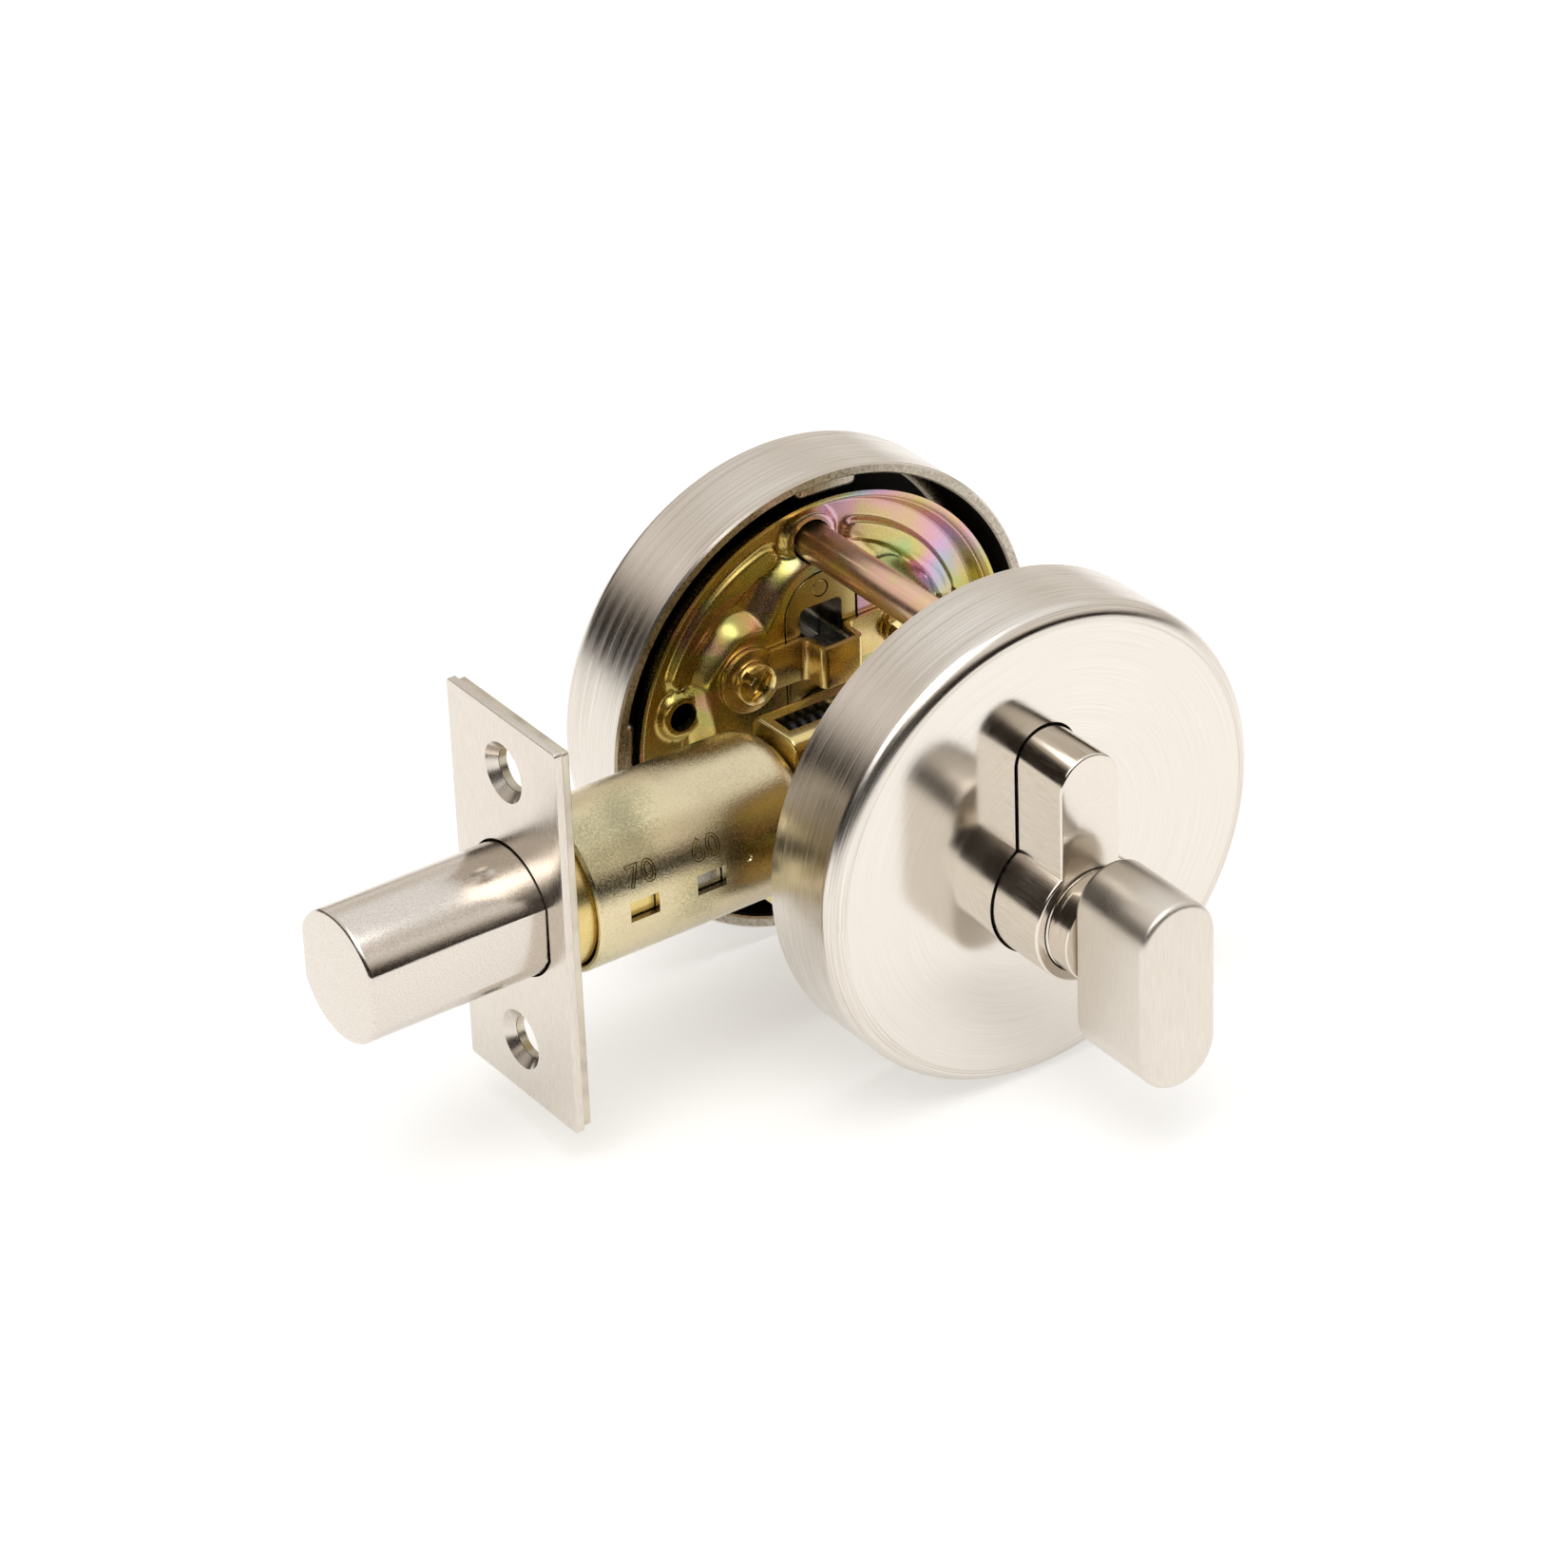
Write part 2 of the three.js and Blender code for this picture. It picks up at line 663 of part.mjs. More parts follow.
// Euro profile of one side in (X, Z), round part on the spindle axis
function euroProfile(side, grow) {
  const radius = profileRadius + grow;
  const half = (side === 'outer' ? keyProfileWidth : profileWidth) / 2 + grow;
  const top = (side === 'outer' ? keyProfileTop : profileTop) + grow;
  const neckAngle = Math.acos(half / radius);
  const shape = new THREE.Shape();
  shape.absarc(0, top - half, half, 0, Math.PI, false);
  shape.absarc(0, 0, radius, Math.PI - neckAngle, 2 * Math.PI + neckAngle, false);
  shape.closePath();
  return shape;
}

// Both sides of the door are built as the key side and turned round Z for the thumbturn side
function sideGroup(side) {
  const group = new THREE.Group();
  group.rotation.z = side === 'outer' ? 0 : Math.PI;
  lock.add(group);
  return group;
}

function makeRose(side, group) {
  const edgeRadius = roseRadius - roseEdge;
  const outerRound = roundPoints(edgeRadius, roseFace - roseEdge, roseEdge, 0, Math.PI / 2, filletSteps);
  const innerEdge = roseEdge - roseWall / 2;
  const innerTop = roseFace - roseWall;
  const innerRadius = roseRadius - roseWall;
  const cup = turnY([
    [innerRadius, doorFace],
    [roseRadius, doorFace],
    ...outerRound,
    [0, roseFace],
    [0, innerTop],
    ...roundPoints(innerRadius - innerEdge, innerTop - innerEdge, innerEdge, Math.PI / 2, 0, 1),
    [innerRadius, doorFace],
  ], roseSides);
  const lugInner = discRadius + fitClearance;
  const lugs = [0, 1, 2, 3].map((quarter) => {
    const length = roseRadius - roseWall / 2 - lugInner;
    const depth = roseDepth - lugSetback - roseWall / 2;
    const geometry = new THREE.BoxGeometry(length, depth, lugWidth);
    geometry.translate(lugInner + length / 2, doorFace + lugSetback + depth / 2, 0);
    geometry.rotateY((quarter * Math.PI) / 2 + lugTurn);
    return toSolid(geometry);
  });
  const raised = joined(cup, ...lugs).translate([0, 0, axisRise]);
  const steps = { curveSegments: arcSteps };
  const hole = runY(euroProfile(side, fitClearance), doorFace, roseFace + overcut, steps);
  place(`${side}_rose`, cut(raised, hole), 'nickel', group);
}

// A band that follows the rib circle from one angle to another, with round ends
function ribShape(start, end) {
  const half = ribWidth / 2;
  const shape = new THREE.Shape();
  shape.absarc(0, 0, ribCircle + half, start, end, false);
  const endPoint = [ribCircle * Math.cos(end), ribCircle * Math.sin(end)];
  const startPoint = [ribCircle * Math.cos(start), ribCircle * Math.sin(start)];
  shape.absarc(...endPoint, half, end, end + Math.PI, false);
  shape.absarc(0, 0, ribCircle - half, end, start, true);
  shape.absarc(...startPoint, half, start + Math.PI, start + 2 * Math.PI, false);
  shape.closePath();
  return shape;
}

// Outline of the raised pad under the strap and round the cylinder, in (X, Z)
function padSolid(side, shrink, y0, y1) {
  const earRoom = earRadius + padMargin - shrink;
  const earX = strapScrewSpacing / 2;
  const halfWidth = earX + earRoom;
  const profile = side === 'outer' ? keyProfileWidth : profileWidth;
  const top = side === 'outer' ? keyProfileTop : profileTop;
  const archRadius = profile / 2 + padArchMargin - shrink;
  const archZ = top - profile / 2;
  return joined(
    box(-halfWidth, halfWidth, y0, y1, padBottom + shrink, strapScrewHeight),
    box(-earX, earX, y0, y1, strapScrewHeight - shrink, strapScrewHeight + earRoom),
    rodY(earRoom, y0, y1, -earX, strapScrewHeight, padSides),
    rodY(earRoom, y0, y1, earX, strapScrewHeight, padSides),
    box(-archRadius, archRadius, y0, y1, strapScrewHeight, archZ),
    rodY(archRadius, y0, y1, 0, archZ, padSides),
  );
}

function makePlate(side, group, postHoleRadius) {
  const rimY = doorFace + seatGap + fitClearance;
  const floorRadius = discRadius - flangeRun;
  const dish = turnY([
    [0, discFloor],
    [floorRadius, discFloor],
    [discRadius - flangeLip, rimY],
    [discRadius, rimY],
    [floorRadius + flangeLip / 2, discBack],
    [0, discBack],
  ], roundSides);
  const collarY = discFloor - collarHeight;
  const postHoles = [1, -1].map((hand) => [0, hand * postCircle, postHoleRadius]);
  const spareX = spareHoleCircle * Math.cos(spareHoleTurn);
  const spareZ = spareHoleCircle * Math.sin(spareHoleTurn);
  const spareHoles = [1, -1].map((hand) => [hand * spareX, spareZ, spareHoleRadius]);
  const holes = [...postHoles, ...spareHoles];
  const collars = holes.map(([x, z, radius]) => {
    return rodY(radius + collarWidth, collarY, discFloor + seatGap, x, z, boreSides);
  });
  const bores = holes.map(([x, z, radius]) => {
    return rodY(radius, collarY - overcut, discBack + overcut, x, z, boreSides);
  });
  const ribs = [0, 1, 2, 3].map((quarter) => {
    const angle = (quarter * Math.PI) / 2;
    const start = quarter % 2 === 1 ? angle + ribStart : angle + Math.PI / 2 - ribEnd;
    const shape = ribShape(start, start + ribEnd - ribStart);
    return runY(shape, discFloor - ribHeight, discFloor + seatGap, { curveSegments: ribSteps });
  });
  const stamped = joined(dish, ...collars, ...ribs).translate([0, 0, axisRise]);
  const pad = padSolid(side, 0, padFace, discBack);
  const padHollow = padSolid(side, discThickness, padFace + discThickness, discBack + overcut);
  const boresRaised = bores.map((bore) => bore.translate([0, 0, axisRise]));
  const steps = { curveSegments: arcSteps };
  const profile = runY(euroProfile(side, fitClearance), doorFace, discBack + overcut, steps);
  const screwHoles = [-1, 1].map((hand) => {
    const x = (hand * strapScrewSpacing) / 2;
    return rodY(strapScrewRadius + pinClearance, doorFace, discBack + overcut, x, strapScrewHeight, pinSides);
  });
  const plate = cut(joined(stamped, pad), padHollow, ...boresRaised, profile, ...screwHoles);
  place(`${side}_plate`, plate, 'zinc', group);
}

function makeCylinder(side, group, bore, chambers, finish) {
  const body = runY(euroProfile(side, 0), cylinderEnd, cylinderFace, { curveSegments: arcSteps });
  const through = rodY(bore, cylinderEnd - overcut, cylinderFace + overcut, 0, 0, plugSides);
  const notchHalf = notchWidth / 2;
  const notchBottom = bridgeBottom - runClearance;
  const notch = box(-notchHalf, notchHalf, cylinderEnd - overcut, notchFloor, notchBottom, notchTop);
  const dowelRoom = dowelRadius + pinClearance;
  const dowelEnd = cylinderEnd + dowelLength;
  const boreEnd = dowelEnd + pinClearance;
  const dowelBore = rodY(dowelRoom, cylinderEnd - overcut, boreEnd, 0, dowelHeight, pinSides);
  place(`${side}_cylinder`, cut(body, through, notch, dowelBore, ...chambers), finish, group);
  const dowel = rodY(dowelRadius, cylinderEnd, dowelEnd, 0, dowelHeight, pinSides);
  place(`${side}_dowel`, dowel, 'brass', group);
}

// Steel channel that stands in the notch of the cylinder and is held by the strap
function makeBridge(side, group) {
  const front = strapFront + strapThickness + seatGap;
  const rear = notchFloor - seatGap;
  const half = bridgeWidth / 2;
  const top = bridgeBottom + bridgeHeight;
  const bar = box(-half, half, front, rear, bridgeBottom, top);
  const innerHalf = half - bridgeWall;
  const floor = bridgeBottom + bridgeFloor;
  const trough = box(-innerHalf, innerHalf, front - overcut, rear + overcut, floor, top + overcut);
  place(`${side}_bridge`, cut(bar, trough), 'steel', group);
}

function makeStrap(side, group) {
  const outerHalf = strapBumpWidth / 2;
  const innerHalf = outerHalf - strapThickness;
  const earFront = strapBack - strapThickness;
  const screwX = strapScrewSpacing / 2;
  const hat = cut(
    box(-outerHalf, outerHalf, strapFront, strapBack, strapBottom, strapTop),
    box(-innerHalf, innerHalf, strapFront + strapThickness, strapBack + overcut, 0, 2 * strapTop),
  );
  const ears = [-1, 1].flatMap((hand) => {
    const [left, right] = [hand * (innerHalf + seatGap), hand * screwX].sort((a, b) => a - b);
    return [
      rodY(earRadius, earFront, strapBack, hand * screwX, strapScrewHeight, earSides),
      box(left, right, earFront, strapBack, strapBottom, strapTop),
    ];
  });
  const holes = [-1, 1].map((hand) => {
    const radius = strapScrewRadius + pinClearance;
    return rodY(radius, earFront - overcut, strapBack + overcut, hand * screwX, strapScrewHeight, pinSides);
  });
  place(`${side}_strap`, cut(joined(hat, ...ears), ...holes), 'zinc', group);

  for (const [hand, name] of [[-1, 'a'], [1, 'b']]) {
    const x = hand * screwX;
    const headBack = earFront - seatGap;
    const headFront = headBack - strapHeadHeight;
    const head = rodY(strapHeadRadius, headFront, headBack, x, strapScrewHeight, headSides);
    const end = headBack + strapScrewLength;
    const shank = rodY(strapScrewRadius, headBack - seatGap, end, x, strapScrewHeight, pinSides);
    const drive = slotTool(x, strapScrewHeight, headFront, strapHeadRadius);
    place(`${side}_strap_screw_${name}`, cut(joined(head, shank), drive), 'zinc', group);
  }
}

// Tool that cuts the driver slot in a screw head
function slotTool(x, z, headFront, headRadius) {
  const across = headRadius + overcut;
  const half = driveSlot / 2;
  return box(x - across, x + across, headFront - overcut, headFront + driveSlotDepth, z - half, z + half);
}

// Split ring in a groove round a plug or spindle
function clipRing(radius, y) {
  const inner = radius - clipInset;
  const ring = turnY([
    [inner, y],
    [radius + clipOutset, y],
    [radius + clipOutset, y + clipWidth],
    [inner, y + clipWidth],
    [inner, y],
  ], padSides);
  return cut(ring, box(-inner / 2, inner / 2, y - overcut, y + clipWidth + overcut, -2 * radius, 0));
}

function clipGroove(radius, y) {
  const inner = radius - clipInset - pinClearance;
  const outer = radius + clipOutset;
  const y0 = y - pinClearance;
  const y1 = y + clipWidth + pinClearance;
  return turnY([[inner, y0], [outer, y0], [outer, y1], [inner, y1], [inner, y0]], padSides);
}

function clipPlace() {
  return cylinderEnd - clipWidth - 2 * pinClearance;
}

function tailSlot(y0, y1) {
  const half = tailWidth / 2 + pinClearance;
  const height = tailHeight / 2 + pinClearance;
  return box(-half, half, y0, y1, -height, height);
}

function pinPlaces() {
  return Array.from({ length: pinCount }, (_, i) => notchFloor + firstPin + i * pinPitch);
}

function makeKeyPlug(group) {
  const start = cylinderEnd - plugSetback;
  const blank = rodY(plugRadius, start, cylinderFace, 0, 0, plugSides);
  const halfKey = keywayWidth / 2;
  const keyEnd = cylinderFace - keywayLength;
  const keyway = box(-halfKey, halfKey, keyEnd, cylinderFace + overcut, keywayBottom, keywayTop);
  const wellBottom = keyPinBottom - pinClearance;
  const wells = pinPlaces().map((y) => {
    return rodZ(pinRadius + pinClearance, wellBottom, plugRadius + overcut, 0, y);
  });
  const slot = tailSlot(start - overcut, notchFloor);
  const groove = clipGroove(plugRadius, clipPlace());
  place('key_plug', cut(blank, keyway, slot, groove, ...wells), 'brass', group);
  place('key_plug_clip', clipRing(plugRadius, clipPlace()), 'steel', group);
}

function makePins(group) {
  const driverBottom = shearLine + runClearance;
  const driverTop = driverBottom + driverPinLength;
  const keyPinTop = plugRadius - runClearance;
  const springBottom = driverTop + pinSpringWire + seatGap;
  const springTop = chamberTop - pinSpringWire - seatGap;
  pinPlaces().forEach((y, i) => {
    place(`key_pin_${i + 1}`, rodZ(pinRadius, keyPinBottom, keyPinTop, 0, y), 'brass', group);
    place(`driver_pin_${i + 1}`, rodZ(pinRadius, driverBottom, driverTop, 0, y), 'brass', group);
    const shape = [pinSpringRadius, pinSpringWire, pinSpringTurns, springBottom, springTop];
    const geometry = coil(...shape, pinSpringSteps, pinSpringSides);
    geometry.translate(0, y, 0);
    place(`pin_spring_${i + 1}`, toSolid(geometry), 'steel', group);
  });
}

function makeThumbturn(group) {
  const start = cylinderEnd - plugSetback;
  const blank = joined(
    rodY(neckRadius, start, knobBack - seatGap, 0, 0, plugSides),
    rodY(spindleBoss, knobBack - overcut, knobBack + spindleBossLength, 0, 0, earSides),
  );
  const slot = tailSlot(start - overcut, notchFloor);
  const groove = clipGroove(neckRadius, clipPlace());
  place('thumbturn_spindle', cut(blank, slot, groove), 'nickel', group);
  place('thumbturn_clip', clipRing(neckRadius, clipPlace()), 'steel', group);

  const half = knobWidth / 2;
  const outline = new THREE.Shape();
  outline.absarc(0, knobTop - half, half, 0, Math.PI, false);
  outline.absarc(0, knobBottom + half, half, Math.PI, 2 * Math.PI, false);
  outline.closePath();
  const bevel = { bevelEnabled: true, bevelSize: knobBevel, bevelThickness: knobBevel };
  const steps = { bevelSegments: bevelSteps, curveSegments: arcSteps };
  const options = { ...bevel, ...steps, bevelOffset: -knobBevel };
  const blankKnob = runY(outline, knobBack + knobBevel, knobBack + knobDepth - knobBevel, options);
  const bossRoom = spindleBossLength + pinClearance;
  const bore = rodY(spindleBoss + pinClearance, knobBack - overcut, knobBack + bossRoom, 0, 0, earSides);
  const screwY = knobBack + spindleBossLength / 2;
  const screwBore = rodZ(setScrewRadius + pinClearance, knobBottom - overcut, 0, 0, screwY);
  place('thumbturn_knob', cut(blankKnob, bore, screwBore), 'nickel', group);
  const screwTop = -spindleBoss - pinClearance;
  const screw = rodZ(setScrewRadius, screwTop - setScrewLength, screwTop, 0, screwY);
  place('knob_set_screw', screw, 'steel', group);
}

function makeTailpiece() {
  const end = notchFloor - 2 * pinClearance;
  const halfWidth = tailWidth / 2;
  const halfHeight = tailHeight / 2;
  place('tailpiece', box(-halfWidth, halfWidth, -end, end, -halfHeight, halfHeight), 'steel');
}

function makePosts() {
  const nearEnd = -(discFloor - collarHeight) + seatGap;
  const farEnd = discFloor + discThickness / 2;
  const headBack = -discBack - seatGap;
  const headFront = headBack - mountHeadHeight;
  const threadEnd = headBack + mountScrewLength;
  const flatY = farEnd - postFlatLength;
  const across = postRadius + overcut;
  for (const [end, side] of [['upper', 1], ['lower', -1]]) {
    const z = side * postCircle;
    const rod = rodY(postRadius, nearEnd, farEnd, 0, z, boreSides);
    const flats = [-1, 1].map((hand) => {
      const [low, high] = [hand * postFlat, hand * across].sort((a, b) => a - b);
      return box(-across, across, flatY, farEnd + overcut, z + low, z + high);
    });
    const room = mountScrewRadius + pinClearance;
    const bore = rodY(room, nearEnd - overcut, threadEnd + overcut, 0, z, boreSides);
    place(`mounting_post_${end}`, cut(rod, bore, ...flats), 'zinc', boltLine);
    const head = rodY(mountHeadRadius, headFront, headBack, 0, z, headSides);
    const shank = rodY(mountScrewRadius, headBack - seatGap, threadEnd, 0, z, boreSides);
    const drive = slotTool(0, z, headFront, mountHeadRadius);
    place(`mounting_screw_${end}`, cut(joined(head, shank), drive), 'zinc', boltLine);
  }
}

makeFaceplate();
makeBolt();
makeRack();
makePinion();
makeSleeve();
makeBarrel();
makeCase();
makeDetent();

const outer = sideGroup('outer');
const inner = sideGroup('inner');
const chambers = pinPlaces().map((y) => rodZ(pinRadius + pinClearance, 0, chamberTop, 0, y));
makeCylinder('outer', outer, plugRadius + runClearance, chambers, 'brass');
makeCylinder('inner', inner, neckRadius + runClearance, [], 'nickel');
const postHoles = { outer: postRadius + fitClearance, inner: mountScrewRadius + fitClearance };
for (const [side, group] of [['outer', outer], ['inner', inner]]) {
  makeRose(side, group);
  makePlate(side, group, postHoles[side]);
  makeBridge(side, group);
  makeStrap(side, group);
}
makeKeyPlug(outer);
makePins(outer);
makeThumbturn(inner);
makeTailpiece();
makePosts();

export default lock;
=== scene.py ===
import bpy, bmesh, math
from mathutils import Matrix, Vector


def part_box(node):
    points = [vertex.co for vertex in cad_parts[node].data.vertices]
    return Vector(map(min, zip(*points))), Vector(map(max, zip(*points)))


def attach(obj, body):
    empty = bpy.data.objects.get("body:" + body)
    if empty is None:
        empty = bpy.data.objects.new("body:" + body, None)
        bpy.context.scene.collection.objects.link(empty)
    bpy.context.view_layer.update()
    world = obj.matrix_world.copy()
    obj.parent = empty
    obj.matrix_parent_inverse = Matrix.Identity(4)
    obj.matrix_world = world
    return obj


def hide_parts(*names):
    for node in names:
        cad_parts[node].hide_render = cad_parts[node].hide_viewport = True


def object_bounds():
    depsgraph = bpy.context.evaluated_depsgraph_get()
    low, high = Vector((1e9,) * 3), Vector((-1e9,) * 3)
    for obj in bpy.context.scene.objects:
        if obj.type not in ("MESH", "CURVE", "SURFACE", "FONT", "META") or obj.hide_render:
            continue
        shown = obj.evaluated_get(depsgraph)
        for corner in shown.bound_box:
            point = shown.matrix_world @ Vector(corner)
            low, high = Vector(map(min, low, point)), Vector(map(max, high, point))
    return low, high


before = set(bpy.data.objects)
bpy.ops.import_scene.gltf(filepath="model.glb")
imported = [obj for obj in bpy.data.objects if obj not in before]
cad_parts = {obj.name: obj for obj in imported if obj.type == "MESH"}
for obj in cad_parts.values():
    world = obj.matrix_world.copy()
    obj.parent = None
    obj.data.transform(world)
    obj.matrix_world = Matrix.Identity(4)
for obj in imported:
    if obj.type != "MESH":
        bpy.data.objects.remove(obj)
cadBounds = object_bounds()
axisHeight = 6  # bolt axis and rose centre above the spindle axis, mm
turned180 = Matrix.Rotation(math.pi, 4, "Z")  # the thumbturn side is the key side turned round


# One node with its settings: sockets given as values are linked, and stops fill a ramp
def addNode(tree, kind, inputs=None, stops=(), **properties):
    made = tree.nodes.new(kind)
    for key, value in properties.items():
        setattr(made, key, value)
    for key, value in (inputs or {}).items():
        sockets = value if isinstance(value, list) else [value]
        if isinstance(sockets[0], bpy.types.NodeSocket):
            for socket in sockets:
                tree.links.new(socket, made.inputs[key])
        else:
            made.inputs[key].default_value = value
    if stops:
        elements = made.color_ramp.elements
        while len(elements) < len(stops):
            elements.new(0.5)
        for element, (position, hexValue) in zip(elements, stops):
            element.position, element.color = position, colour(hexValue)
    return made


def colour(hexValue):
    parts = [int(hexValue[i:i + 2], 16) / 255 for i in (1, 3, 5)]
    return [p / 12.92 if p <= 0.04045 else ((p + 0.055) / 1.055) ** 2.4 for p in parts] + [1]


def startMaterial(name, **settings):
    material = bpy.data.materials.new(name)
    material.use_nodes = True
    tree = material.node_tree
    tree.nodes.clear()
    shader = addNode(tree, "ShaderNodeBsdfPrincipled", settings)
    addNode(tree, "ShaderNodeOutputMaterial", {"Surface": shader.outputs[0]})
    return material, tree, shader


# Object coordinates in mm, moved so that centre is the origin, then stretched
def placeVector(tree, centre=(0, 0, 0), stretch=(1, 1, 1)):
    place = addNode(tree, "ShaderNodeTexCoord").outputs["Object"]
    inMm = addNode(tree, "ShaderNodeVectorMath", {0: place, 1: (1000,) * 3}, operation="MULTIPLY").outputs[0]
    moved = addNode(tree, "ShaderNodeVectorMath", {0: inMm, 1: centre}, operation="SUBTRACT").outputs[0]
    return addNode(tree, "ShaderNodeVectorMath", {0: moved, 1: stretch}, operation="MULTIPLY").outputs[0]


# Round the Y axis: (radius, depth, angle), so that strokes follow a lathe or a buffing wheel
def turnedVector(tree, centre, across, along):
    x, y, z = addNode(tree, "ShaderNodeSeparateXYZ", {0: placeVector(tree, centre)}).outputs
    angle = addNode(tree, "ShaderNodeMath", {0: z, 1: x}, operation="ARCTAN2").outputs[0]
    flat = addNode(tree, "ShaderNodeCombineXYZ", {0: x, 2: z}).outputs[0]
    radius = addNode(tree, "ShaderNodeVectorMath", {0: flat}, operation="LENGTH").outputs["Value"]
    both = addNode(tree, "ShaderNodeCombineXYZ", {0: radius, 1: y, 2: angle}).outputs[0]
    scale = (across, across, along)
    return addNode(tree, "ShaderNodeVectorMath", {0: both, 1: scale}, operation="MULTIPLY").outputs[0]


def newPiece(name, points, faces):
    mesh = bpy.data.meshes.new(name)
    mesh.from_pydata([tuple(p) for p in points], [], faces)
    piece = bpy.data.objects.new(name, mesh)
    bpy.context.scene.collection.objects.link(piece)
    outward(piece)
    return piece


def outward(piece):
    work = bmesh.new()
    work.from_mesh(piece.data)
    bmesh.ops.remove_doubles(work, verts=work.verts, dist=0.0005)
    bmesh.ops.recalc_face_normals(work, faces=work.faces)
    work.to_mesh(piece.data)
    work.free()


# Rings of points joined in order: capped at both ends, or closed on itself
def loftPiece(name, rings, capped=True):
    count = len(rings[0])
    points = [p for ring in rings for p in ring]
    faces = []
    rows = len(rings) - 1 if capped else len(rings)
    for r in range(rows):
        a, b = r * count, ((r + 1) % len(rings)) * count
        faces += [(a + i, a + (i + 1) % count, b + (i + 1) % count, b + i) for i in range(count)]
    if capped:
        faces += [tuple(reversed(range(count))), tuple(range((len(rings) - 1) * count, len(rings) * count))]
    return newPiece(name, points, faces)


def roundRing(radius, along, centre=(0, 0), axis="Y", sides=192):
    ring = []
    for i in range(sides):
        a = 2 * math.pi * i / sides
        u, v = centre[0] + radius * math.cos(a), centre[1] + radius * math.sin(a)
        ring.append((u, along, v) if axis == "Y" else (along, u, v) if axis == "X" else (u, v, along))
    return ring


# Profile of (along, radius) points, turned round an axis
def turnedPiece(name, profile, centre=(0, 0), axis="Y", sides=192, capped=True):
    return loftPiece(name, [roundRing(r, a, centre, axis, sides) for a, r in profile], capped)


def rod(radius, start, end, centre=(0, 0), axis="Y", sides=48, edge=0.0):
    profile = [(start, radius), (end, radius)]
    if edge:
        profile = [(start, radius - edge), (start + edge, radius), (end - edge, radius), (end, radius - edge)]
    return turnedPiece("rod", profile, centre, axis, sides)


def block(x, y, z):
    points = [(a, b, c) for a in x for b in y for c in z]
    faces = [(0, 1, 3, 2), (4, 6, 7, 5), (0, 4, 5, 1), (2, 3, 7, 6), (0, 2, 6, 4), (1, 5, 7, 3)]
    return newPiece("block", points, faces)


def arcPoints(centre, radius, start, end, steps):
    angles = [math.radians(start + (end - start) * i / steps) for i in range(steps + 1)]
    return [(centre[0] + radius * math.cos(a), centre[1] + radius * math.sin(a)) for a in angles]


# An outline(inset) run along an axis, its two ends rounded by insetting
def runPiece(name, outline, start, end, edges=(0, 0), axis="Y", steps=5):
    rows = []  # (inset, place along the axis)
    for atEnd, edge in enumerate(edges):
        turns = [math.pi / 2 * i / steps for i in range(steps + 1)]
        part = [(edge * (1 - math.sin(t)), edge * (1 - math.cos(t))) for t in turns] if edge else [(0, 0)]
        rows += [(inset, end - away) for inset, away in part[::-1]] if atEnd else [
            (inset, start + away) for inset, away in part]
    rings = []
    for inset, along in rows:
        rings.append([(u, along, v) if axis == "Y" else (along, u, v) for u, v in outline(inset)])
    return loftPiece(name, rings)


def bake(piece):
    graph = bpy.context.evaluated_depsgraph_get()
    mesh = bpy.data.meshes.new_from_object(piece.evaluated_get(graph))
    piece.modifiers.clear()
    piece.data = mesh
    return piece


def cutAway(piece, *tools, operation="DIFFERENCE"):
    for tool in tools:
        modifier = piece.modifiers.new("cut", "BOOLEAN")
        modifier.object, modifier.operation, modifier.solver = tool, operation, "EXACT"
        bake(piece)
        bpy.data.objects.remove(tool)
    return piece


def joined(piece, *others):
    work = bmesh.new()
    for part in (piece, *others):
        work.from_mesh(part.data)
    work.to_mesh(piece.data)
    work.free()
    for part in others:
        bpy.data.objects.remove(part)
    return piece


def softened(piece, width, segments=2, angle=30):
    work = bmesh.new()
    work.from_mesh(piece.data)
    bmesh.ops.remove_doubles(work, verts=work.verts, dist=0.002)
    bmesh.ops.dissolve_limit(work, angle_limit=math.radians(0.5), verts=work.verts, edges=work.edges)
    work.to_mesh(piece.data)
    work.free()
    bevel = piece.modifiers.new("edge", "BEVEL")
    bevel.width, bevel.segments, bevel.limit_method = width, segments, "ANGLE"
    bevel.angle_limit, bevel.miter_outer = math.radians(angle), "MITER_ARC"
    return bake(piece)


# A merged copy of a CAD node in mm, ready for its edges to be softened
def cadCopy(node, name):
    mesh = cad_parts[node].data.copy()
    mesh.transform(Matrix.Scale(1000, 4))
    mesh.materials.clear()
    piece = bpy.data.objects.new(name, mesh)
    bpy.context.scene.collection.objects.link(piece)
    work = bmesh.new()
    work.from_mesh(mesh)
    bmesh.ops.remove_doubles(work, verts=work.verts, dist=0.002)
    work.to_mesh(mesh)
    work.free()
    return piece


# Faces that a test picks take a second finish
def paintFaces(piece, finishes, choose):
    piece.data.materials.clear()
    for finish in finishes:
        piece.data.materials.append(finish)
    for face in piece.data.polygons:
        face.material_index = choose(face.center)


def finishPiece(piece, name, material, body, slot, nodes, turn=False, lift=0, smooth=32):
    piece.name = name
    if lift:
        piece.data.transform(Matrix.Translation((0, 0, lift)))
    if turn:
        piece.data.transform(turned180)
    piece.data.transform(Matrix.Scale(0.001, 4))
    piece.data.shade_smooth()
    piece.data.set_sharp_from_angle(angle=math.radians(smooth))
    if material is not None:
        piece.data.materials.clear()
        piece.data.materials.append(material)
    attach(piece, body)
    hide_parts(*nodes)
    return piece


